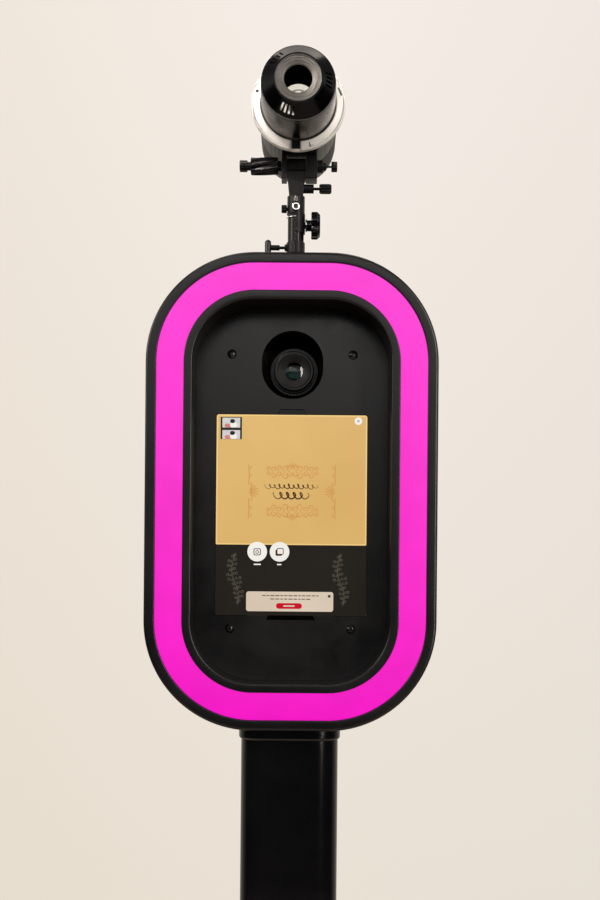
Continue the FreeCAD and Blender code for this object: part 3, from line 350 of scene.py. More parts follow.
NODE_FINISHES: dict[str, Finish] = {
    "base_plate": POWDER_COAT, "base_feet": RUBBER, "base_socket": POWDER_COAT, "base_bolts": BLACK_OXIDE,
    "post_lower": TUBE_PAINT, "post_upper": TUBE_PAINT, "post_sleeve": ZINC_SHEET, "post_knob": NYLON,
    "power_inlet": NYLON, "power_rocker": NYLON, "post_collar": TUBE_PAINT, "head_bolts": ZINC_PLATE,
    "outer_frame": SATIN_SHELL, "inner_frame": SATIN_SHELL, "led_tray": WHITE_TRAY, "led_strips": LAMP_STRIP,
    # The chassis plate and the camera shelf wear painted shade: a dead black for the dark inside the head.
    "led_diffuser": DIFFUSER, "chassis_plate": BLACK_AND_PAINTED_SHADE, "chassis_screws": ZINC_PLATE,
    "panel_spacers": ZINC_PLATE, "face_panel": PANEL_PAINT, "panel_screws": BLACK_OXIDE,
    "tablet_body": TABLET_BACK, "tablet_glass": TOUCH_GLASS, "tablet_clips": NYLON,
    "camera_body": CAMERA_GRAIN, "lens_barrel": LENS_BLACK, "focus_ring": NYLON, "lens_ring": LENS_TRIM,
    "lens_glass": LENS_GLASS, "camera_shelf": BLACK_AND_PAINTED_SHADE, "shutter_button": ZINC_PLATE,
    "mode_dial": LENS_BLACK, "power_supply": ZINC_SHEET, "rear_door": SATIN_SHELL, "hinge_leaves": ZINC_PLATE,
    "hinge_pins": ZINC_PLATE, "door_lock": LOCK_CHROME, "mast_socket": CAST_BLACK, "mast_screws": BLACK_OXIDE,
    "mast_lever": KNOB_PLASTIC,
    "mast_tube": MAST_ANODISED, "tilt_bracket": CAST_BLACK, "spigot_ring": CHROME, "star_knob": KNOB_PLASTIC,
    "spigot_knob": KNOB_PLASTIC, "umbrella_knob": KNOB_PLASTIC, "tilt_yoke": CAST_BLACK,
    "tilt_handle": KNOB_PLASTIC, "strobe_body": STROBE_GREY, "mount_ring": RING_ALUMINIUM,
    "release_latch": KNOB_PLASTIC, "snoot_tube": DARK_POLISH, "snoot_shell": GLOSS_BLACK,
    "snoot_aperture": APERTURE_GREY, "flash_lamp": LAMP_GLASS, "strobe_panel": STROBE_PANEL,
    "strobe_dial": KNOB_PLASTIC, "test_button": NYLON, "fan_rotor": NYLON,
}


# ---- studio -------------------------------------------------------------------------------------
@dataclass(frozen=True)
class Lamp:
    """A soft rectangular lamp that faces a point."""

    name: str
    place: tuple[float, float, float]
    aim: tuple[float, float, float]
    size: Point2
    watts: float
    colour: str
    spread_deg: float = 180.0

    def build(self) -> None:
        """Hang the lamp."""
        data = bpy.data.lights.new(self.name, "AREA")
        data.shape = "RECTANGLE"
        data.size, data.size_y = self.size
        data.energy = self.watts
        data.color = linear(self.colour)[:3]
        data.spread = math.radians(self.spread_deg)
        lamp = bpy.data.objects.new(self.name, data)
        lamp.location = self.place
        lamp.rotation_euler = (Vector(self.place) - Vector(self.aim)).to_track_quat("Z", "Y").to_euler()
        bpy.context.scene.collection.objects.link(lamp)


LAMPS = (
    Lamp("window_light", (1.8, -2.3, 1.9), (0.0, 0.0, 1.5), (0.4, 2.4), 42.0, "fff6ea"),
    Lamp("left_fill", (-2.4, -1.2, 2.5), (0.0, 0.0, 1.5), (1.2, 1.2), 26.0, "fff0e0"),
    Lamp("top_light", (0.0, 0.2, 3.6), (0.0, 0.0, 1.3), (1.8, 1.2), 26.0, "fff4e8"),
    Lamp("front_light", (-0.5, -3.7, 2.9), (0.0, 0.0, 1.5), (2.6, 1.0), 9.0, "fff6ee"),
    # A narrow beam that reaches only the flash.
    Lamp("flash_light", (-0.8, -1.85, 2.8), (0.0, 0.0, 1.84), (0.22, 0.22), 0.26, "fff6ee", 15.0),
)


@dataclass(frozen=True)
class Studio:
    """The floor, the world, the lights and the camera."""

    distance: float = 1.5
    eye_right: float = 12.1 * MM
    eye_below: float = 105 * MM
    focal_mm: float = 47.68
    sensor_mm: float = 36.0
    rise: float = 5 / 36
    roll_deg: float = 0.5
    floor_radius: float = 2.3
    floor_finish: Finish = Finish("pale_plaster_floor", "d9cfc0", "e0d6c8", 0.7, 0.05, 2.0, 0.1, 300)

    def build(self) -> None:
        """Make everything that isn't the booth."""
        self.world()
        self.floor()
        self.camera()
        for lamp in LAMPS:
            lamp.build()
        bpy.context.scene.view_settings.view_transform = "Standard"

    def blend(self, tree: bpy.types.NodeTree, way: bpy.types.NodeSocket, span: Point2,
              first: bpy.types.NodeSocket, second: bpy.types.NodeSocket) -> bpy.types.NodeSocket:
        """Pass from one colour to another along a direction.

        Args:
            tree: the world's nodes.
            way: one coordinate of the direction looked in.
            span: where the passage starts and ends along it.
            first: the colour before the passage.
            second: the colour after it.

        Returns:
            The blended colour.
        """
        share = add(tree, "ShaderNodeMapRange", {"From Min": span[0], "From Max": span[1]}, {"Value": way})
        return add(tree, "ShaderNodeMix", {"data_type": "RGBA"},
                   {"Factor": share.outputs["Result"], 6: first, 7: second}).outputs[2]

    def world(self) -> None:
        """Fill the room: a cream backdrop for the eye, and a dimmer room that the surfaces mirror."""
        world = bpy.data.worlds.new("studio")
        bpy.context.scene.world = world
        world.use_nodes = True
        tree = world.node_tree
        tree.nodes.clear()
        sky = add(tree, "ShaderNodeTexCoord")
        split = add(tree, "ShaderNodeSeparateXYZ", links={"Vector": sky.outputs["Generated"]}).outputs
        across = add(tree, "ShaderNodeMapRange", {"From Min": -0.26, "From Max": 0.26},
                     {"Value": split["X"]})
        height = add(tree, "ShaderNodeMapRange", {"From Min": -1.0, "From Max": 1.0}, {"Value": split["Z"]})
        low, high, front, back = (
            add(tree, "ShaderNodeValToRGB", {"stops": stops}, {"Fac": way.outputs["Result"]}).outputs["Color"]
            for way, stops in (
                (across, [(0.0, "e7ddce"), (0.5, "eae0d4"), (1.0, "e6dfd4")]),
                (across, [(0.0, "f0e6dc"), (0.5, "f7efe8"), (1.0, "f0e8e0")]),
                (height, [(0.47, "0a0a0c"), (0.53, "343234"), (0.6, "ffffff"), (0.78, "7a7574")]),
                (height, [(0.3, "b0a89c"), (0.45, "ded7cc"), (0.66, "e6dfd4"), (0.8, "5c5855")])))
        backdrop = self.blend(tree, split["Z"], (-0.25, 0.5), low, high)
        room = self.blend(tree, split["Y"], (0.1, 0.95), front, back)
        path = add(tree, "ShaderNodeLightPath")
        colour = add(tree, "ShaderNodeMix", {"data_type": "RGBA"},
                     {"Factor": path.outputs["Is Camera Ray"], 6: room, 7: backdrop})
        glow = add(tree, "ShaderNodeBackground", links={"Color": colour.outputs[2]})
        add(tree, "ShaderNodeOutputWorld", links={"Surface": glow.outputs["Background"]})

    def floor(self) -> None:
        """Lay a pale round floor."""
        shape = Shape("studio_floor")
        shape.lathe([(-20, 0.0), (-20, self.floor_radius / MM), (-1, self.floor_radius / MM), (-0.5, 0.0)],
                    Vector((0, 0, 0)), Z_AXIS, 96)
        shape.object(self.floor_finish)

    def camera(self) -> None:
        """Stand the camera in front, level, with its picture shifted up."""
        data = bpy.data.cameras.new("camera")
        data.lens = self.focal_mm
        data.sensor_width = self.sensor_mm
        data.shift_y = self.rise
        eye = bpy.data.objects.new("camera", data)
        eye.location = (self.eye_right, FRONT_Y - self.distance, HEAD_CENTRE.z - self.eye_below)
        level = Matrix.Rotation(math.radians(90), 4, "X")
        eye.rotation_euler = (level @ Matrix.Rotation(math.radians(self.roll_deg), 4, "Z")).to_euler()
        bpy.context.scene.collection.objects.link(eye)
        bpy.context.scene.camera = eye


# ---- shaping ------------------------------------------------------------------------------------
def rounded(profile: Profile, steps: int = 4, closed: bool = False) -> list[Point2]:
    """Round a profile's corners.

    Args:
        profile: points, each with an optional third number, its corner's radius.
        steps: how many short pieces each round corner has.
        closed: whether the last point joins the first.

    Returns:
        The profile with its round corners drawn as short pieces.
    """
    out: list[Point2] = []
    count = len(profile)
    for n, spot in enumerate(profile):
        here = Vector(spot[:2])
        radius = spot[2] if len(spot) > 2 else 0.0
        if radius <= 0 or (not closed and n in (0, count - 1)):
            out.append((here.x, here.y))
            continue
        back = Vector(profile[n - 1][:2]) - here
        on = Vector(profile[(n + 1) % count][:2]) - here
        half = back.angle(on) / 2
        reach = min(radius / math.tan(half), back.length * 0.49, on.length * 0.49)
        start, end = here + back.normalized() * reach, here + on.normalized() * reach
        for k in range(steps + 1):
            t = k / steps
            mix = start * (1 - t) ** 2 + here * 2 * t * (1 - t) + end * t ** 2
            out.append((mix.x, mix.y))
    return out


def round_rect(width: float, height: float, radius: float, steps: int) -> list[Point2]:
    """Return the points of a round-cornered rectangle about the origin, anticlockwise.

    Args:
        width: its width.
        height: its height.
        radius: its corner radius.
        steps: how many short pieces each corner has.
    """
    points = []
    for sx, sy, turn in ((1, 1, 0), (-1, 1, 90), (-1, -1, 180), (1, -1, 270)):
        for k in range(steps + 1):
            a = math.radians(turn + 90 * k / steps)
            points.append((sx * (width / 2 - radius) + radius * math.cos(a),
                           sy * (height / 2 - radius) + radius * math.sin(a)))
    return points


class Shape:
    """A mesh under construction, in metres in the booth's frame."""

    def __init__(self, name: str) -> None:
        """Start an empty mesh.

        Args:
            name: the piece's name.
        """
        self.name = name
        self.bm = bmesh.new()
        self.uv = self.bm.loops.layers.uv.new("UVMap")

    def skin(self, rows: Sequence[Sequence[Vector]], closed: bool, slot: int = 0) -> None:
        """Join rings of points with quads and close the ends.

        Args:
            rows: rings of points, each as long as the others.
            closed: whether the last ring joins the first; if not, both ends are capped.
            slot: the material slot.
        """
        rings = [[self.bm.verts.new(p) for p in row] for row in rows]
        count = len(rings[0])
        around = [0.0]
        for k in range(count):
            around.append(around[-1] + (rows[0][(k + 1) % count] - rows[0][k]).length)
        across = 0.0
        for n in range(len(rings) if closed else len(rings) - 1):
            low, high = rings[n], rings[(n + 1) % len(rings)]
            step = (rows[(n + 1) % len(rings)][0] - rows[n][0]).length
            for k in range(count):
                m = (k + 1) % count
                face = self.bm.faces.new((low[k], low[m], high[m], high[k]))
                face.material_index = slot
                spots = ((around[k], across), (around[k + 1], across),
                         (around[k + 1], across + step), (around[k], across + step))
                for loop, spot in zip(face.loops, spots):
                    loop[self.uv].uv = spot
            across += step
        if not closed:
            for ring in (rings[0][::-1], rings[-1]):
                self.bm.faces.new(ring).material_index = slot

    def rim(self, profile: Profile, size: Point2, radius: float, centre: Vector, steps: int) -> None:
        """Carry a closed profile round an upright rounded rectangle.

        Args:
            profile: points as inset from the rectangle and depth along Y.
            size: the rectangle's width and height.
            radius: its corner radius.
            centre: its centre.
            steps: short pieces in each corner.
        """
        rows = []
        for inset, depth in profile:
            spots = round_rect(size[0] - 2 * inset, size[1] - 2 * inset, max(radius - inset, 0.0), steps)
            rows.append([Vector((centre.x + x, depth, centre.z + z)) for x, z in spots])
        self.skin(rows, True)

    def lathe(self, profile: Profile, start: Vector, axis: Vector, steps: int = 64, closed: bool = False,
              lobe: Lobe | None = None, slot: int = 0, corner_steps: int = 4) -> None:
        """Turn a profile about an axis.

        Args:
            profile: points in millimetres: distance along the axis, radius and, where it is round, the
                corner's radius.
            start: where the axis starts.
            axis: its direction.
            steps: short pieces round the axis.
            closed: whether the profile is a loop; if not, both ends are capped.
            lobe: a factor on the radius for each angle and distance, for flutes and lobes.
            slot: the material slot.
            corner_steps: short pieces in each round corner.
        """
        along = axis.normalized()
        upright = abs(along.z) >= 0.9
        side = (along.orthogonal() if upright else Z_AXIS - along * along.z).normalized()
        other = along.cross(side)
        rows = []
        for depth, radius in rounded(profile, corner_steps, closed):
            row = []
            for k in range(steps):
                a = 2 * math.pi * k / steps
                r = max(radius * MM, 5 * SAME_POINT) * (lobe(a, depth) if lobe else 1.0)
                row.append(start + along * depth * MM + (side * math.cos(a) + other * math.sin(a)) * r)
            rows.append(row)
        self.skin(rows, closed, slot)

    def block(self, low: Sequence[float], high: Sequence[float], bevel: float = 0.0, slot: int = 0) -> None:
        """Add a block between two corners, its edges rounded.

        Args:
            low: the lowest corner.
            high: the highest corner.
            bevel: the width of its rounded edges.
            slot: the material slot.
        """
        size = Vector(high) - Vector(low)
        mid = (Vector(high) + Vector(low)) / 2
        made = bmesh.ops.create_cube(self.bm, size=1.0, matrix=Matrix.LocRotScale(mid, None, size))
        for face in {f for v in made["verts"] for f in v.link_faces}:
            face.material_index = slot
        if bevel:
            edges = list({e for v in made["verts"] for e in v.link_edges})
            cut = bmesh.ops.bevel(self.bm, geom=edges, offset=bevel, segments=3, profile=0.5, affect="EDGES")
            for face in cut["faces"]:
                face.material_index = slot

    def object(self, *finishes: Finish, sharp_deg: float = 32.0) -> bpy.types.Object:
        """Turn the mesh into an object with smooth faces and crisp corners.

        Args:
            finishes: the finishes of its material slots.
            sharp_deg: edges that bend more than this stay crisp.

        Returns:
            The object.
        """
        bmesh.ops.remove_doubles(self.bm, verts=self.bm.verts, dist=SAME_POINT)
        bmesh.ops.dissolve_degenerate(self.bm, edges=self.bm.edges, dist=SAME_POINT / 20)
        bmesh.ops.recalc_face_normals(self.bm, faces=self.bm.faces)
        for face in self.bm.faces:
            face.smooth = True
        for edge in self.bm.edges:
            edge.smooth = len(edge.link_faces) == 2 and edge.calc_face_angle() < math.radians(sharp_deg)
        mesh = bpy.data.meshes.new(self.name)
        self.bm.to_mesh(mesh)
        self.bm.free()
        for finish in finishes:
            mesh.materials.append(finish.material())
        made = bpy.data.objects.new(self.name, mesh)
        bpy.context.scene.collection.objects.link(made)
        return made


def place(piece: bpy.types.Object, body: str, nodes: Iterable[str] = (), slot: str = "") -> None:
    """Fix a piece to its body, and hide the frame's nodes that it stands for.

    Args:
        piece: the object.
        body: the body it rides on.
        nodes: the frame's nodes that it stands for.
        slot: not used.
    """
    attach(piece, body)
    if nodes:
        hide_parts(*nodes)
    LOG.info("%s rides on %s", piece.name, body)


def joint(name: str) -> tuple[Vector, Vector]:
    """Return a joint's point and axis from the record."""
    found = next(j for j in frame["joints"] if j["name"] == name)
    return Vector(found["pos_m"]), Vector(found["axis"])


def middle(node: str) -> Vector:
    """Return the middle of a node's front face."""
    low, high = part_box(node)
    return Vector(((low.x + high.x) / 2, low.y, (low.z + high.z) / 2))


# ---- the frame's own nodes ----------------------------------------------------------------------
SOFT_EDGE_DEG = 38
CRISP_EDGE_DEG = 28
BEVELS_MM = {"tilt_bracket": 0.8, "tilt_yoke": 1.0, "mast_socket": 0.6, "base_plate": 1.2, "base_socket": 1.0,
             "post_collar": 0.6, "rear_door": 0.6, "release_latch": 0.5, "mast_lever": 0.3, "door_lock": 0.3,
             "power_inlet": 0.6, "camera_body": 1.5, "strobe_panel": 0.4, "hinge_leaves": 0.4}


def soften(node: bpy.types.Object, width_mm: float) -> None:
    """Give a moulded or cast node soft edges, and keep its large faces flat.

    Args:
        node: the frame's node.
        width_mm: the width of its soft edges.
    """
    weld = node.modifiers.new("joined_faces", "WELD")
    weld.merge_threshold = SAME_POINT
    bevel = node.modifiers.new("soft_edges", "BEVEL")
    bevel.width = width_mm * MM
    bevel.segments = 2
    bevel.limit_method = "ANGLE"
    bevel.angle_limit = math.radians(SOFT_EDGE_DEG)
    bevel.harden_normals = True
    level = node.modifiers.new("level_faces", "WEIGHTED_NORMAL")
    level.weight = 100


def dress_frame() -> None:
    """Give every node of the frame its finish and its soft or crisp edges."""
    for name, node in frame["nodes"].items():
        material = NODE_FINISHES[name].material()
        slots = max(1, len(node.data.materials))
        node.data.materials.clear()
        for _ in range(slots):
            node.data.materials.append(material)
        for polygon in node.data.polygons:
            polygon.use_smooth = True
        if name in BEVELS_MM:
            soften(node, BEVELS_MM[name])
        else:
            split = node.modifiers.new("crisp_edges", "EDGE_SPLIT")
            split.split_angle = math.radians(CRISP_EDGE_DEG)
        LOG.info("%s wears %s", name, material.name)


# ---- head ---------------------------------------------------------------------------------------
@dataclass(frozen=True)
class Head:
    """The moulded head: its shell, lit ring and bezel."""

    rim: float = 13.5 * MM
    light: float = 34.5 * MM
    bezel: float = 11.5 * MM
    wall: float = 4 * MM
    skin: float = 3 * MM
    recess: float = 55 * MM
    lip: float = 6 * MM
    ledge: float = 12 * MM
    shelf: float = 27.5 * MM
    plate: float = 2.5 * MM
    flange: float = 14 * MM
    gap: float = 0.3 * MM
    crown: float = 0.5 * MM

    def build(self) -> None:
        """Make the head's pieces."""
        self.shell()
        self.diffuser()
        self.inner()

    def around(self, name: str, profile: Profile, finish: Finish, node: str, slot: str) -> None:
        """Carry a rounded closed profile round the head's outline.

        Args:
            name: the piece's name.
            profile: points as inset, depth and, where it is round, the corner's radius.
            finish: its finish.
            node: the node it stands for.
            slot: its material slot in the record.
        """
        shape = Shape(name)
        shape.rim(rounded(profile, 5, True), HEAD_SIZE, HEAD_RADIUS, HEAD_CENTRE, 28)
        place(shape.object(finish), "stand", [node], slot)

    def shell(self) -> None:
        """Mould the outer shell with its rolled front rim and its inner ledge."""
        lip, end = FRONT_Y + self.lip, HEAD_HIGH.y
        wall, ledge = self.wall, self.wall + self.ledge
        profile = [(0, FRONT_Y, 4.2 * MM), (self.rim, FRONT_Y, 1.6 * MM), (self.rim, lip, 0.5 * MM),
                   (wall, lip), (wall, -self.wall), (ledge, -self.wall), (ledge, 0.0), (wall, 0.0),
                   (wall, end, 0.4 * MM), (0, end, 0.8 * MM)]
        self.around("head_shell", profile, SATIN_SHELL, "outer_frame", "satin_shell")

    def diffuser(self) -> None:
        """Set the opal ring a little below the rims, faintly crowned."""
        low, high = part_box("led_diffuser")
        out, inn = self.rim + self.gap, self.rim + self.light - self.gap
        crown = [(out + (inn - out) * t, low.y + self.crown * (2 * t - 1) ** 2)
                 for t in (0, 0.15, 0.3, 0.5, 0.7, 0.85, 1)]
        profile = [*crown, (inn, high.y), (out, high.y)]
        self.around("opal_ring", profile, DIFFUSER, "led_diffuser", "diffuser")

    def inner(self) -> None:
        """Mould the bezel and the recess wall with its flanges."""
        outer, edge = self.rim + self.light, self.rim + MM
        inner = outer + self.bezel
        hem = FRONT_Y + self.wall
        back = FRONT_Y + self.recess + self.skin
        end = back + self.plate
        shelf = FRONT_Y + self.shelf
        under = shelf + 2 * MM
        wall = inner - self.skin
        profile = [(outer, FRONT_Y, 1.5 * MM), (inner, FRONT_Y, 2.8 * MM), (inner, back),
                   (inner + self.wall, back), (inner + self.wall, end), (inner - self.flange, end),
                   (inner - self.flange, back), (wall, back), (wall, under), (edge, under), (edge, shelf),
                   (wall, shelf), (wall, hem), (outer, hem)]
        self.around("head_bezel", profile, SATIN_SHELL, "inner_frame", "satin_shell")


# ---- screen -------------------------------------------------------------------------------------
class Ink(Enum):
    """The colours of the screen's picture: backlit, so they glow evenly with a soft patchiness."""

    GOLD = Glow("lit_gold_display", "e2ba72", "d8ae68", 0.12, patch_mm=150)
    EDGE = Glow("lit_gold_edge", "f6d28a", "f2ca80", 0.12, patch_mm=60)
    NIGHT = Glow("lit_dark_display", "26221d", "211e1a", 0.12, patch_mm=90)
    OCHRE = Glow("lit_ochre_scrolls", "d29a55", "cc9450", 0.12, patch_mm=30)
    SEPIA = Glow("lit_sepia_pen", "3a2413", "52361c", 0.12, patch_mm=12)
    VINE = Glow("lit_dim_vines", "5a5348", "4a443b", 0.12, patch_mm=9)
    WHITE = Glow("lit_white_buttons", "f4f1ea", "efebe4", 0.12, patch_mm=30)
    CREAM = Glow("lit_cream_banner", "dcccb9", "d2c0aa", 0.12, patch_mm=60)
    RED = Glow("lit_red_button", "cc1428", "c01024", 0.12, patch_mm=20)
    COAL = Glow("lit_black_film", "171311", "1d1916", 0.12, patch_mm=20)
    MIST = Glow("lit_grey_sky", "c9c6c9", "d9d4d2", 0.12, patch_mm=8)
    ROSE = Glow("lit_rose_hill", "d88a7c", "c87468", 0.12, patch_mm=6)


@dataclass
class Screen:
    """The tablet's lit picture: a gold card with scrollwork, and a dark strip with buttons below it."""

    width: float = 196.6
    height: float = 262.1
    card: float = 169.9
    lift: float = 0.035
    film: float = 0.03
    border: float = 1.6
    layers: float = 0
    top: float = field(init=False)
    front: float = field(init=False)
    shape: Shape = field(init=False)

    def build(self) -> None:
        """Draw the picture from its back layer to its front one."""
        glass = middle("tablet_glass")
        self.top = glass.z / MM + self.height / 2
        self.front = glass.y / MM
        self.shape = Shape("screen_picture")
        self.panel(0, self.height / 2, self.width, self.height, 1.0, Ink.NIGHT)
        self.panel(0, self.card / 2, self.width, self.card, 1.5, Ink.EDGE)
        both = 2 * self.border
        self.panel(0, self.card / 2, self.width - both, self.card - both, 1.0, Ink.GOLD)
        self.film_strip()
        self.card_scrolls()
        self.title()
        self.buttons()
        self.vines()
        self.banner()
        made = self.shape.object(*(ink.value for ink in Ink))
        place(made, "stand", [], "tablet_glass")

    def add(self, points: Sequence[Point2], ink: Ink, layer: float) -> None:
        """Add one thin patch.

        Args:
            points: its outline in millimetres, across from the centre and down from the top.
            ink: its colour.
            layer: how many films it lies in front of the glass.
        """
        y = self.front - self.lift * layer
        slot = list(Ink).index(ink)
        bm = self.shape.bm
        near = [bm.verts.new((x * MM, y * MM, (self.top - t) * MM)) for x, t in points]
        far = [bm.verts.new((x * MM, (y + self.film) * MM, (self.top - t) * MM)) for x, t in points]
        faces = [bm.faces.new(near), bm.faces.new(far[::-1])]
        for n in range(len(points)):
            m = (n + 1) % len(points)
            faces.append(bm.faces.new((near[n], far[n], far[m], near[m])))
        for face in faces:
            face.material_index = slot

    def panel(self, x: float, t: float, width: float, height: float, radius: float, ink: Ink,
              layer: float | None = None) -> None:
        """Add a round-cornered patch.

        Args:
            x: its centre, across.
            t: its centre, down.
            width: its width.
            height: its height.
            radius: its corner radius.
            ink: its colour.
            layer: its layer; without one it goes in front of the last.
        """
        if layer is None:
            self.layers += 1
            layer = self.layers
        steps = 1 if radius < 0.3 else 6
        outline = round_rect(width, height, max(radius, 0.01), steps)
        self.add([(x + u, t - v) for u, v in outline], ink, layer)

    def stroke(self, line: Sequence[Point2], width: float, ink: Ink, layer: float,
               taper: bool = True) -> None:
        """Add a pen stroke along a line, thin at its ends.

        Args:
            line: its points.
            width: its widest width.
            ink: its colour.
            layer: its layer.
            taper: whether its ends thin out.
        """
        if len(line) < 4:
            line = [(a[0] + (b[0] - a[0]) * k / 6, a[1] + (b[1] - a[1]) * k / 6)
                    for a, b in zip(line, line[1:]) for k in range(6)] + [line[-1]]
        left, right = [], []
        last = len(line) - 1
        for n, (x, t) in enumerate(line):
            ahead, behind = line[min(n + 1, last)], line[max(n - 1, 0)]
            way = Vector((ahead[0] - behind[0], ahead[1] - behind[1]))
            side = Vector((-way.y, way.x)).normalized()
            half = width / 2 * (math.sin(math.pi * n / last) ** 0.5 * 0.8 + 0.2 if taper else 1.0)
            left.append((x + side.x * half, t + side.y * half))
            right.append((x - side.x * half, t - side.y * half))
        for n in range(last):
            self.add([left[n], left[n + 1], right[n + 1], right[n]], ink, layer)

    def curl(self, x: float, t: float, size: float, heading: float, hand: int,
             turns: float) -> list[Point2]:
        """Return a scroll that starts at a point and winds in on itself.

        Args:
            x: where it starts, across.
            t: where it starts, down.
            size: its widest radius.
            heading: the way it sets off, in degrees.
            hand: 1 or -1, the way it winds.
            turns: how far it winds.

        Returns:
            Its points.
        """
        points = [(x, t)]
        steps = int(20 * turns)
        angle = math.radians(heading)
        for n in range(steps):
            radius = size * (1 - 0.8 * n / steps)
            pace = 2 * math.pi * turns / steps
            angle += hand * pace
            x += math.cos(angle) * radius * pace
            t += math.sin(angle) * radius * pace
            points.append((x, t))
        return points

    def film_strip(self) -> None:
        """Draw two small pictures on black film, each a rose hill under a pale sky, and the close button."""
        x, width = -79.4, 27.9
        self.panel(x, 17.8, width, 29.0, 0.3, Ink.COAL)
        for t, height in ((10.7, 12.8), (26.2, 11.6)):
            self.panel(x, t, 23.2, height, 0.2, Ink.MIST, self.layers + 1)
            self.panel(x - 4, t + height / 2 - 2.6, 9.0, 5.0, 2.4, Ink.ROSE, self.layers + 2)
            self.panel(x + 3, t + height / 2 - 3.4, 9.0, 6.6, 3.2, Ink.WHITE, self.layers + 3)
            self.panel(x + 1.6, t - 2.0, 6.4, 5.2, 2.5, Ink.COAL, self.layers + 4)
        self.layers += 4
        x, t, reach = 86.7, 7.3, 1.9
        self.panel(x, t, 10.0, 10.0, 5.0, Ink.WHITE, self.layers)
        for turn in (45, -45):
            way = Vector((math.cos(math.radians(turn)), math.sin(math.radians(turn)))) * reach
            line = [(x - way.x, t - way.y), (x + way.x, t + way.y)]
            self.stroke(line, 0.7, Ink.VINE, self.layers + 1 + turn / 90, False)

    def card_scrolls(self) -> None:
        """Draw the scrollwork above, below and beside the card's title."""
        layer = self.layers + 3
        for t, down in ((73.0, 1), (127.0, -1)):
            for side in (-1, 1):
                for n, (reach, size) in enumerate(((3, 4.0), (9, 4.6), (17, 3.6), (24, 4.0), (31, 2.8))):
                    heading = 180 if side < 0 else 0
                    x = side * reach + 1.3
                    for hand in (1, -1):
                        points = self.curl(x, t + down * (n % 2) * 2.0, size, heading, hand, 1.2)
                        self.stroke(points, 1.3, Ink.OCHRE, layer + n * 0.2 + hand * 0.1)
            for n in range(-3, 4):
                leaf = [(1.3 + n * 2.2, t - down * 4), (1.3 + n * 3.6, t - down * (12 - abs(n) * 1.8))]
                self.stroke(leaf, 1.3, Ink.OCHRE, layer + 1.5)
        for side in (-1, 1):
            edge = side * 57.0 + 0.6
            for t0, t1 in ((64, 92), (108, 137)):
                bow = [(edge, t0), (edge - side * 1.2, (t0 + t1) / 2), (edge, t1)]
                self.stroke(bow, 1.4, Ink.OCHRE, layer + 1.7)
            for n in range(7):
                a = math.radians(-66 + 22 * n)
                tip = (edge - side * 15.0 * math.cos(a), 100 + 11 * math.sin(a))
                self.stroke([(edge - side * 2, 100 + 2 * math.sin(a)), tip], 1.5, Ink.OCHRE, layer + 1.8)
                curl = self.curl(edge, 100 + (n - 3) * 10.5, 2.4, 90, side, 1.0)
                self.stroke(curl, 1.0, Ink.OCHRE, layer + 1.9)
        self.layers = layer + 2

    def title(self) -> None:
        """Draw two rows of loose pen loops that stand for the card's heading."""
        self.layers += 1
        for t, reach, size, loops, width in ((93.5, 34.0, 3.6, 11, 1.2), (105.5, 22.0, 5.6, 5, 1.9)):
            points = []
            count = 26 * loops
            for n in range(count + 1):
                share = n / count
                a = 2 * math.pi * loops * share
                height = size * (0.8 + 0.25 * math.sin(5 * a / loops))
                lean = size * 0.55 * math.sin(a) + height * 0.25 * math.cos(a)
                points.append((reach * (2 * share - 1) - lean, t - height * math.cos(a) * 0.9))
            self.stroke(points, width, Ink.SEPIA, self.layers)

    def buttons(self) -> None:
        """Draw the two round buttons with their signs and captions."""
        self.layers += 1
        base = self.layers
        button, caption = 179.0, 195.6
        for x in (-44.1, -14.9):
            self.panel(x, button, 25.8, 25.8, 12.9, Ink.WHITE, base)
        for x, t, width, height, radius, ink, lift in (
                (-44.1, button + 0.3, 9.6, 9.2, 2.0, Ink.SEPIA, 1),
                (-44.1, button + 0.3, 7.4, 7.0, 1.2, Ink.WHITE, 2),
                (-44.1, button + 0.5, 4.6, 4.6, 2.3, Ink.SEPIA, 3),
                (-44.1, button + 0.5, 2.8, 2.8, 1.4, Ink.WHITE, 4),
                (-15.9, button + 1.2, 8.6, 8.2, 1.6, Ink.SEPIA, 1),
                (-14.1, button - 0.6, 9.0, 8.6, 1.6, Ink.SEPIA, 2),
                (-14.1, button - 0.6, 7.0, 6.6, 1.0, Ink.WHITE, 3),
                (-43.8, caption, 9.6, 1.7, 0.8, Ink.WHITE, 1),
                (-15.2, caption, 6.0, 1.7, 0.8, Ink.WHITE, 1)):
            self.panel(x, t, width, height, radius, ink, base + lift)
        self.layers += 5

    def vines(self) -> None:
        """Draw a dim climbing vine on each side of the dark strip."""
        layer = self.layers + 1
        for across in (-72.5, 65.5):
            stem = [(across + 4.6 * math.sin(0.085 * t + 0.6), 250.0 - t) for t in range(0, 72, 2)]
            self.stroke(stem, 0.9, Ink.VINE, layer)
            for n in range(22):
                x, t = stem[1 + int(n * 1.5)]
                reach = 7.6 * math.sin(math.pi * (n + 2) / 25) + 1.0
                hand = 1 if n % 2 else -1
                away = reach * (0.35 + 0.65 * abs(math.sin(2.7 * n)))
                twig = [(x, t), (x + hand * away * 0.5, t - 1.6), (x + hand * away, t - 1.0)]
                outer = self.curl(*twig[2], 1.9, 90 - hand * 120, -hand, 1.0)
                inner = self.curl(*twig[1], 1.5, 90 + hand * 60, hand, 0.8)
                self.stroke(twig, 0.7, Ink.VINE, layer + 0.1)
                self.stroke(outer, 1.1, Ink.VINE, layer + 0.2 + 0.03 * n)
                self.stroke(inner, 1.0, Ink.VINE, layer + 0.9 + 0.03 * n)
        self.layers = layer + 2

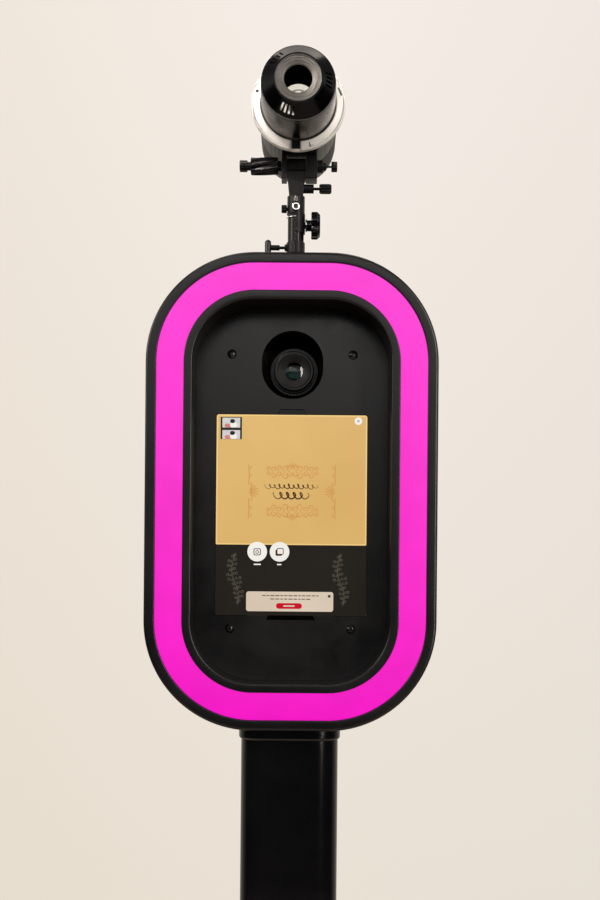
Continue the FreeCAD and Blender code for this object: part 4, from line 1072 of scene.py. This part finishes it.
    def banner(self) -> None:
        """Draw the banner with two rows of small print and a red button."""
        self.layers += 1
        base = self.layers
        self.panel(-1.1, 243.9, 113.8, 25.8, 3.2, Ink.CREAM, base)
        for t, start, end in ((236.2, -37.0, 34.0), (240.7, -26.6, 24.0)):
            x = start
            n = 0
            while x < end:
                length = 3.0 + 2.6 * abs(math.sin(2.3 * n + t))
                self.panel(x + length / 2, t, length, 1.1, 0.3, Ink.SEPIA, base + 1)
                x += length + 1.2
                n += 1
        self.panel(-2.0, 249.7, 34.0, 7.4, 3.7, Ink.RED, base + 1)
        self.panel(-2.0, 249.7, 15.0, 1.8, 0.8, Ink.CREAM, base + 2)
        self.panel(50.5, 236.6, 3.4, 3.4, 1.0, Ink.SEPIA, base + 1)


# ---- turned pieces ------------------------------------------------------------------------------
def centre_line(node: str) -> Vector:
    """Return the point at depth zero on the Y line through a node's middle."""
    mid = middle(node)
    return Vector((mid.x, 0, mid.z))


def turned(name: str, profile: Profile, start: Vector, finish: Finish, steps: int = 96,
           lobe: Lobe | None = None) -> bpy.types.Object:
    """Turn one closed profile about a line along Y.

    Args:
        name: the piece's name.
        profile: depth, radius and corner radius in millimetres.
        start: a point on the line, at depth zero.
        finish: its finish.
        steps: short pieces round the line.
        lobe: a factor on the radius for each angle and depth.

    Returns:
        The piece.
    """
    shape = Shape(name)
    shape.lathe(profile, start, Y_AXIS, steps, True, lobe)
    return shape.object(finish)


# ---- camera -------------------------------------------------------------------------------------
@dataclass(frozen=True)
class Lens:
    """The camera's lens behind its window, in millimetres: ribbed rings round coated elements."""

    outer: float = 26.8
    well: float = 21.4
    glass: float = 11.9
    length: float = 4.5
    ribs: int = 7

    def build(self) -> None:
        """Turn the rings and the glass."""
        start = middle("lens_ring")
        self.rings(start)
        self.elements(start)

    def rings(self, start: Vector) -> None:
        """Turn the black rim and the ribbed well.

        Args:
            start: the middle of the lens's front face.
        """
        outer, inner, end = self.outer, self.well, self.length
        rim = Shape("lens_rim")
        rim.lathe([(end, outer), (0.6, outer, 1.0), (0, outer - 2, 1.0), (0, inner + 1.4, 0.8), (1.2, inner),
                   (end, inner)], start, Y_AXIS, 96, True, corner_steps=5)
        place(rim.object(LENS_BLACK), "stand", ["lens_ring"], "camera_trim")
        face = [(1.2, inner)]
        for n in range(self.ribs):
            radius = inner - (inner - self.glass) * (n + 0.5) / self.ribs
            depth = 1.2 + 2.2 * n / self.ribs
            face += [(depth, radius + 0.45), (depth + 0.5, radius + 0.3), (depth + 0.6, radius - 0.3)]
        face += [(3.4, self.glass), (end, self.glass), (end, inner)]
        place(turned("lens_well", face, start, LENS_TRIM), "stand", [], "camera_trim")

    def elements(self, start: Vector) -> None:
        """Grind the domed front element and the two coated ones behind it.

        Args:
            start: the middle of the lens's front face.
        """
        for name, radius, depth, crown, finish in (("lens_front_element", self.glass, 3.0, 2.4, LENS_GLASS),
                                                   ("lens_green_element", 8.6, 6.2, 1.8, COATED_GREEN),
                                                   ("lens_violet_element", 5.0, 4.9, 1.1, COATED_VIOLET)):
            shape = Shape(name)
            front = [(depth - crown * (1 - (n / 10) ** 2), radius * n / 10) for n in range(11)]
            shape.lathe([*front, (depth + 0.8, radius), (depth + 0.6, 0.0)], start, Y_AXIS)
            nodes = ["lens_glass"] if finish is LENS_GLASS else []
            place(shape.object(finish), "stand", nodes, "lens_glass")


# ---- flash --------------------------------------------------------------------------------------
@dataclass
class FlashHead:
    """The studio flash, in millimetres: its grooved case, its mount ring with index marks, and its lamp."""

    case_radius: float = 51.0
    wall: float = 2.5
    mouth: float = 30.0
    fins: int = 6
    fin_pitch: float = 9.0
    fins_reach: float = 60.0
    grooves: tuple[float, ...] = (-160, -90, -20, 20, 33, 46, 59, 118, 126, 134, 148, 160)
    groove_depth: float = 0.024
    groove_half_deg: float = 1.7
    ring_radius: float = 61.4
    ring_bore: float = 49.6
    latch_gap: float = 0.4
    latch_travel: float = 3.6
    arm_reach: float = 43.0
    tube_radius: float = 20.0
    tube_half: float = 3.2
    bulb_radius: float = 7.0
    leg_radius: float = 2.4
    stem_radius: float = 11.0
    disc_radius: float = 25.0
    socket_radius: float = 29.6
    flange_radius: float = 41.6
    axis: Vector = field(init=False)
    ring_front: float = field(init=False)
    ring_back: float = field(init=False)
    case_back: float = field(init=False)

    def build(self) -> None:
        """Make the case, the ring and the lamp."""
        low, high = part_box("mount_ring")
        self.axis = centre_line("mount_ring")
        self.ring_front = low.y / MM
        self.ring_back = high.y / MM
        self.case_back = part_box("strobe_body")[1].y / MM
        self.case()
        self.fan_arm()
        self.ring()
        self.marks()
        self.lamp()

    def groove(self, angle: float, depth: float) -> float:
        """Cut narrow grooves along the case as far as its fins.

        Args:
            angle: the angle round the case, from its top.
            depth: the distance along it.

        Returns:
            The factor on its radius.
        """
        if depth > self.case_back - self.fins_reach - 2:
            return 1.0
        deg = math.degrees(angle)
        off = min(abs((deg - g - 90 + 180) % 360 - 180) for g in self.grooves)
        return 1.0 - self.groove_depth * max(0.0, 1.0 - off / self.groove_half_deg)

    def case(self) -> None:
        """Draw the case: a tube with grooves along it and cooling fins round its back."""
        front, back, r = self.ring_back, self.case_back, self.case_radius
        profile: list[Sequence[float]] = [(front + 0.1, self.mouth), (front + 0.1, r, 1.2)]
        for n in range(self.fins):
            y = back - self.fins_reach + self.fin_pitch * n
            profile += [(y, r, 0.4), (y + 0.8, r + 1, 0.6), (y + 3.6, r + 1, 0.6), (y + 4.4, r, 0.4)]
        profile += [(back, r, 0.8), (back, r - self.wall, 0.5), (front + 2.8, r - self.wall),
                    (front + 2.8, self.mouth)]
        case = turned("flash_case", profile, self.axis, STROBE_GREY, 360, self.groove)
        place(case, "flash", ["strobe_body"], "strobe_grey")

    def fan_arm(self) -> None:
        """Set the arm across the case that carries the fan's motor."""
        hub, _ = joint("fan_spin")
        front = hub.y - 6.5 * MM
        half, reach = 3 * MM, self.arm_reach * MM
        left, right = self.axis.x - reach, self.axis.x + reach
        arm = Shape("fan_arm")
        arm.block((left, front, hub.z - half), (right, front + half, hub.z + half), 0.6 * MM)
        hub.y = front + MM
        arm.lathe([(0, 0), (0, 2), (12.5, 2), (12.5, 0)], hub, Y_AXIS, 24)
        place(arm.object(STROBE_GREY), "flash", [], "strobe_grey")

    def ring(self) -> None:
        """Turn the mount ring with its sloped face and beaded edge, and cut the latch's slot."""
        front, back, big, bore = self.ring_front, self.ring_back, self.ring_radius, self.ring_bore
        profile = [(front + 0.2, bore, 0.3), (front, bore + 1.4, 0.4), (front + 1.9, big - 3.2, 0.5),
                   (front + 1.2, big - 2.2, 0.6), (front + 1.0, big - 0.7, 0.9), (front + 2.6, big, 1.0),
                   (back - 0.6, big, 0.5), (back, big - 0.8, 0.4), (back, 42), (back - 3, 42),
                   (back - 3, bore, 0.3)]
        ring = turned("bayonet_ring", profile, self.axis, RING_ALUMINIUM, 144)
        self.notch(ring)
        place(ring, "flash", ["mount_ring"], "ring_aluminium")

    def notch(self, ring: bpy.types.Object) -> None:
        """Cut the slot in the ring that the release latch slides in, and blacken the ring's bore.

        Args:
            ring: the mount ring.
        """
        low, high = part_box("release_latch")
        gap = self.latch_gap * MM
        cutter = Shape("latch_slot")
        cutter.block((low.x - gap, low.y - gap, low.z - self.latch_travel * MM),
                     (high.x + gap, high.y + gap, high.z + gap))
        tool = cutter.object(RING_ALUMINIUM)
        cut = ring.modifiers.new("latch_slot", "BOOLEAN")
        cut.object = tool
        cut.operation = "DIFFERENCE"
        bpy.context.view_layer.update()
        seen = ring.evaluated_get(bpy.context.evaluated_depsgraph_get())
        ring.data = bpy.data.meshes.new_from_object(seen)
        ring.modifiers.clear()
        bpy.data.objects.remove(tool)
        ring.data.materials.append(LENS_BLACK.material())
        for face in ring.data.polygons:
            across = Vector((face.center.x - self.axis.x, face.center.z - self.axis.z)).length
            if across < 0.99 * self.ring_bore * MM:
                face.material_index = 1

    def marks(self) -> None:
        """Fill the ring's index marks: a tick, a white dot, a dot and a slanting tick."""
        front = self.ring_front + 0.4
        marks = Shape("ring_index_mark")
        for degrees, radius, width, length, turn, slot in (
                (-74, 55.0, 1.3, 8.0, 0, 0), (-70, 57.5, 2.0, 2.0, 0, 1),
                (164, 55.6, 4.6, 4.6, 0, 0), (16, 56.2, 2.4, 11.0, 100, 0)):
            a = math.radians(degrees)
            spot = self.axis + Vector((math.cos(a), 0, math.sin(a))) * radius * MM
            disc = [(front, 0.0), (front, width / 2), (front + 2.6, width / 2), (front + 2.6, 0.0)]
            marks.lathe(disc, spot, Y_AXIS, 20, slot=slot)
            if length > width:
                lean = a + math.radians(turn)
                out = Vector((math.cos(lean), 0, math.sin(lean)))
                for n in range(-2, 3):
                    marks.lathe(disc, spot + out * n * length / 5 * MM, Y_AXIS, 14, slot=slot)
        place(marks.object(NYLON, WHITE_TRAY), "flash", [], "black_nylon")

    def lamp(self) -> None:
        """Make the lamp's socket, the ring tube on its legs and the frosted bulb."""
        back, disc, stem = self.ring_back, self.disc_radius, self.stem_radius
        front, end = back - 3, back + 5.8
        base = Shape("lamp_socket")
        flange = [(front, disc), (front, self.flange_radius), (back - 0.4, self.flange_radius),
                  (back - 0.4, self.socket_radius), (end, self.socket_radius), (end, disc)]
        base.lathe(flange, self.axis, Y_AXIS, 72, True)
        base.lathe([(front, 0), (front, disc), (end, disc), (end, 0)], self.axis, Y_AXIS, 72, slot=1)
        base.lathe([(back - 14, 0), (back - 14, stem - 1), (back - 13, stem), (front, stem), (front, 0)],
                   self.axis, Y_AXIS, 40)
        place(base.object(BLACK_AND_PAINTED_SHADE, WHITE_TRAY), "flash", ["flash_lamp"], "lamp_glass")
        glass = Shape("lamp_tube")
        tube = [(back - 12 + self.tube_half * math.cos(a), self.tube_radius + self.tube_half * math.sin(a))
                for a in (2 * math.pi * n / 16 for n in range(16))]
        glass.lathe(tube, self.axis, Y_AXIS, 64, True)
        bulb, leg = self.bulb_radius, self.leg_radius
        quarter = [math.pi / 12 * n for n in range(7)]
        dome = [(back - 30 - bulb * math.sin(a), bulb * math.cos(a)) for a in quarter]
        glass.lathe([(back - 14, 0), (back - 14, bulb), *dome], self.axis, Y_AXIS, 40)
        for side in (-1, 1):
            spot = self.axis + (X_AXIS * side + Z_AXIS).normalized() * self.tube_radius * MM
            glass.lathe([(back - 12, 0), (back - 12, leg), (front, leg), (front, 0)], spot, Y_AXIS, 20)
        place(glass.object(LAMP_GLASS), "flash", [], "lamp_glass")


@dataclass
class RearPanel:
    """The flash's controls, in millimetres: its lit display, the marks round its dial and its pointer."""

    display_at: Point2 = (22.0, 3.0)
    display: Point2 = (33.0, 13.0)
    bar_height: float = 1.1
    dial_at: Point2 = (-22.0, 2.0)
    ticks: Point2 = (13.9, 16.0)
    tick: float = 0.9
    pointer: Point2 = (1.0, 6.4)
    face: Vector = field(init=False)

    def build(self) -> None:
        """Lay the display, the marks and the pointer on the panel."""
        self.face = centre_line("mount_ring")
        self.face.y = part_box("strobe_panel")[1].y
        self.show()
        self.mark_dial()

    def show(self) -> None:
        """Set the dark display in the panel, with three columns of lit bars."""
        pane = Shape("power_display")
        self.patch(pane, self.display_at, self.display, (-0.75, -0.35), 0)
        for across, width in ((-9.5, 7.0), (0.0, 7.0), (9.5, 4.0)):
            for down in (-3.2, 0.0, 3.2):
                spot = (self.display_at[0] + across, self.display_at[1] + down)
                self.patch(pane, spot, (width, self.bar_height), (-0.35, -0.25), 1)
        place(pane.object(TOUCH_GLASS, DISPLAY_GREEN), "flash", [], "strobe_panel")

    def mark_dial(self) -> None:
        """Print the ten ticks round the dial, and the pointer on it."""
        marks = Shape("dial_marks")
        for n in range(10):
            a = math.radians(45 + 30 * n)
            for share in (0.0, 0.5, 1.0):
                reach = self.ticks[0] + (self.ticks[1] - self.ticks[0]) * share
                spot = (self.dial_at[0] - reach * math.sin(a), self.dial_at[1] + reach * math.cos(a))
                self.patch(marks, spot, (self.tick, self.tick), (0.0, 0.06), 0)
        place(marks.object(WHITE_TRAY), "flash", [], "strobe_panel")
        pointer = Shape("dial_pointer")
        self.patch(pointer, (self.dial_at[0], self.dial_at[1] + 7.5), self.pointer, (10.05, 10.6), 0)
        place(pointer.object(WHITE_TRAY), "strobe_dial", [], "strobe_panel")

    def patch(self, shape: Shape, spot: Point2, size: Point2, depth: Point2, slot: int) -> None:
        """Add a thin patch on the panel.

        Args:
            shape: the shape that takes it.
            spot: its centre from the flash's axis.
            size: its width and height.
            depth: where it starts and ends behind the panel's face.
            slot: the material slot.
        """
        centre = self.face + Vector((spot[0], 0, spot[1])) * MM
        half = Vector((size[0] / 2, 0, size[1] / 2)) * MM
        near, far = (Y_AXIS * edge * MM for edge in depth)
        shape.block(centre - half + near, centre + half + far, 0.0, slot)


@dataclass(frozen=True)
class Snoot:
    """The snoot, in millimetres: a polished tube and, in its black nose, a stepped aperture ring."""

    radius: float = 47.2
    collar: float = 48.4
    lip: float = 29.0
    hole: float = 17.5

    def build(self) -> None:
        """Turn the tube and the aperture."""
        axis = centre_line("snoot_tube")
        low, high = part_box("snoot_tube")
        barrel = turned("snoot_barrel", self.tube(low.y / MM, high.y / MM), axis, DARK_POLISH, 128)
        place(barrel, "snoot", ["snoot_tube"], "dark_polish")
        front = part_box("snoot_aperture")[0].y / MM
        ring = turned("aperture_ring", self.aperture(front), axis, APERTURE_GREY, 128)
        place(ring, "snoot", ["snoot_aperture"], "aperture_grey")

    def tube(self, front: float, back: float) -> Profile:
        """Draw the section of the slightly tapering tube, with its rolled joint and its back collar.

        Args:
            front: the depth of its front end.
            back: the depth of its back end.

        Returns:
            The closed section.
        """
        r, collar = self.radius, self.collar
        return [(front, r - 2), (front, r, 0.3), (front + 4.0, r + 0.3, 0.3), (front + 4.4, r, 0.2),
                (front + 4.9, r, 0.2), (front + 5.3, r + 0.4, 0.3), (back - 18, collar, 0.4),
                (back, collar, 0.3), (back, collar - 2)]

    def aperture(self, front: float) -> Profile:
        """Draw the section of the aperture ring: a lip, a flat, a groove and a step to the hole.

        Args:
            front: the depth of its front face.

        Returns:
            The closed section.
        """
        lip, hole = self.lip, self.hole
        return [(front, lip, 0.2), (front + 0.2, lip - 0.9, 0.3), (front + 1.3, lip - 1.5, 0.2),
                (front + 1.4, 25.4, 0.15), (front + 2.1, 25.0, 0.1), (front + 2.1, 24.4, 0.1),
                (front + 1.5, 24.1, 0.15), (front + 1.9, 21.6, 0.2), (front + 2.4, 21.2, 0.2),
                (front + 3.0, hole + 0.8, 0.3), (front + 3.8, hole, 0.3), (front + 5.4, hole, 0.3),
                (front + 5.6, hole + 2), (front + 6.4, 28.0), (front + 5.0, lip)]


# ---- knobs and trim -----------------------------------------------------------------------------
@dataclass(frozen=True)
class Grip:
    """A stretch of a knob whose round section is fluted or lobed, and may twist along its length."""

    start: float
    end: float
    count: int
    depth: float
    sharp: float = 1.0
    twist_deg: float = 0.0

    def factor(self, angle: float, at: float) -> float:
        """Flute the knob along this stretch.

        Args:
            angle: the angle round the knob.
            at: the distance along it.

        Returns:
            The factor on its radius.
        """
        if not self.start <= at <= self.end:
            return 1.0
        turn = math.radians(self.twist_deg) * (at - self.start) / (self.end - self.start)
        wave = 0.5 + 0.5 * math.cos(self.count * (angle + turn))
        return 1.0 - self.depth * (1.0 - wave ** self.sharp)


@dataclass(frozen=True)
class Knob:
    """A knob, in millimetres, turned about its joint's axis from its node's low end."""

    node: str
    profile: tuple[tuple[float, ...], ...]
    grips: tuple[Grip, ...]
    finish: Finish = KNOB_PLASTIC
    slot: str = "knob_plastic"
    rows_mm: float = 1.2
    sharp_deg: float = 44.0

    def start(self) -> tuple[Vector, Vector]:
        """Return the point on the joint's axis at the node's low end, and the axis."""
        spot, axis = joint(self.node + "_turn")
        axis = Vector((abs(axis.x), abs(axis.y), abs(axis.z)))
        return spot + axis * (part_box(self.node)[0] - spot).dot(axis), axis

    def lobe(self, angle: float, at: float) -> float:
        """Return the factor of all the grips at an angle and a distance."""
        return math.prod(grip.factor(angle, at) for grip in self.grips)

    def rows(self) -> list[Point2]:
        """Return the profile's points, with more of them where a grip needs a fine mesh."""
        line = rounded([(0.0, 0.0), *self.profile, (self.profile[-1][0], 0.0)])
        points = []
        for (at, radius), (next_at, next_radius) in zip(line, line[1:]):
            points.append((at, radius))
            parts = int(abs(next_at - at) / self.rows_mm) if min(radius, next_radius) > 1 else 0
            points += [(at + (next_at - at) * k / parts, radius + (next_radius - radius) * k / parts)
                       for k in range(1, parts)]
        return [*points, (line[-1][0], 0.0)]

    def build(self) -> None:
        """Turn the knob."""
        shape = Shape(self.node + "_grip")
        shape.lathe(self.rows(), *self.start(), 120, lobe=self.lobe)
        knob = shape.object(self.finish, sharp_deg=self.sharp_deg)
        place(knob, frame["nodes"][self.node]["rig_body"], [self.node], self.slot)


STAR_KNOB = Knob(
    "star_knob",
    ((0.0, 4.0), (1.7, 4.0), (1.7, 7.2, 0.4), (9.6, 7.3, 1.2), (9.6, 18.6, 1.8), (17.6, 18.7, 2.0),
     (21.5, 14.8, 1.6)),
    (Grip(9.7, 21.6, 5, 0.2, 0.55),))
KNOBS = (
    Knob("tilt_handle",
         ((0.0, 7.8, 1.6), (10.5, 7.8, 1.6), (10.5, 5.8, 0.6), (15.0, 5.8, 0.6), (15.0, 11.8, 2.4),
          (52.2, 11.8, 2.0), (52.2, 7.2, 0.6), (56.2, 7.2, 0.6), (56.2, 4.0), (116.8, 4.0), (116.8, 1.4),
          (123.8, 1.4), (123.8, 7.0, 1.0), (131.7, 7.0, 1.4)),
         (Grip(0.4, 10.2, 14, 0.06), Grip(16.0, 51.0, 7, 0.24, 0.7, 38.0), Grip(123.7, 132.0, 12, 0.09))),
    STAR_KNOB,
    Knob("spigot_knob", ((0.0, 5.4, 1.2), (7.3, 5.5, 0.8), (7.3, 2.5), (13.8, 2.5)),
         (Grip(0.4, 7.2, 12, 0.1),)),
    Knob("umbrella_knob",
         ((0.0, 1.9), (15.2, 1.9), (15.2, 5.4, 0.8), (17.5, 6.8, 0.8), (29.6, 6.8, 1.0), (31.7, 5.2, 0.6)),
         (Grip(17.0, 31.0, 8, 0.13),)),
    Knob("post_knob",
         ((0.0, 5.0), (9.3, 5.0), (9.3, 9.0, 0.6), (13.0, 9.0, 1.0), (13.0, 17.6, 2.0), (26.6, 17.9, 3.0),
          (29.0, 12.0, 2.0)),
         (Grip(13.2, 28.6, 7, 0.17, 0.6),), NYLON, "black_nylon"),
    Knob("mode_dial", ((0.0, 2.4), (5.3, 2.4), (5.3, 9.8, 0.4), (11.9, 9.9, 0.8)),
         (Grip(5.6, 11.6, 32, 0.05),), LENS_BLACK, "camera_black"),
)


@dataclass(frozen=True)
class Trim:
    """Small bright pieces, in millimetres: the spigot ring, the mast's edge and the star knob's washer."""

    bore: float = 3.0
    rim: float = 5.3
    stub: float = 4.3
    edge_height: float = 1676.2
    edge_lift: float = 1.3
    edge_radius: float = 0.6
    edge_start_deg: float = 176.0
    edge_turn_deg: float = 94.0
    edge_parts: int = 14

    def build(self) -> None:
        """Make the pieces."""
        self.spigot()
        self.mast_edge()
        self.washer()

    def spigot(self) -> None:
        """Turn the spigot's ring, its bore lined in black as painted shade inside the hole, and the upright
        stub behind it.
        """
        low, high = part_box("spigot_ring")
        length = (high.y - low.y) / MM
        start = Vector(((low.x + high.x) / 2, low.y, low.z + self.rim * MM))
        bore, rim, stub = self.bore, self.rim, self.stub
        ring = Shape("spigot_bush")
        bush = [(0.3, bore), (0.0, bore + 0.5, 0.2), (0.0, rim, 0.7), (length, rim, 0.4),
                (length, bore + 0.3)]
        ring.lathe(bush, start, Y_AXIS, 48, True)
        # A thin black sleeve lines the bore: painted shade, so the hole reads dark.
        ring.lathe([(0.31, bore), (0.31, bore + 0.4), (length, bore + 0.3), (length, bore)],
                   start, Y_AXIS, 48, True, slot=1)
        foot = start + Y_AXIS * 5 * MM + Z_AXIS * 6.6 * MM
        height = (high.z - foot.z) / MM
        post = [(0.0, 2.0), (0.0, stub, 0.5), (height, stub, 0.5), (height, 2.0)]
        ring.lathe(post, foot, Z_AXIS, 40, True, slot=2)
        place(ring.object(CHROME, LENS_BLACK, DARK_POLISH), "swivel", ["spigot_ring"], "chrome")

    def mast_edge(self) -> None:
        """Lay the bright edge of the mast's end round a quarter of the mast, as short overlapping rods."""
        low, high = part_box("mast_tube")
        reach = (high.x - low.x) / 2 + self.edge_lift * MM
        centre = Vector(((low.x + high.x) / 2, (low.y + high.y) / 2, self.edge_height * MM))
        edge = Shape("mast_edge")
        for n in range(self.edge_parts):
            first, last = (centre + Vector((math.cos(a), math.sin(a), 0)) * reach for a in (
                math.radians(self.edge_start_deg + self.edge_turn_deg * (n + k) / self.edge_parts)
                for k in (0, 1.08)))
            gap, r = (last - first).length / MM, self.edge_radius
            edge.lathe([(0, 0), (0, r), (gap, r), (gap, 0)], first, last - first, 10)
        place(edge.object(CHROME), "swivel", [], "chrome")

    def washer(self) -> None:
        """Turn the washer under the star knob."""
        washer = Shape("star_knob_washer")
        profile = [(1.9, 7.4), (1.9, 8.4, 0.3), (3.6, 8.4, 0.3), (3.6, 7.4)]
        washer.lathe(profile, *STAR_KNOB.start(), 48, True, corner_steps=3)
        place(washer.object(CHROME), "star_knob", [], "chrome")


def main() -> None:
    """Build the booth in order, logging each assembly's name."""
    logging.basicConfig(level=logging.INFO, format="%(message)s")
    dress_frame()
    for assembly in (Head(), Screen(), Lens(), FlashHead(), RearPanel(), Snoot(), *KNOBS, Trim(), Studio()):
        LOG.info("building %s", type(assembly).__name__)
        assembly.build()


if __name__ == "__main__":
    main()
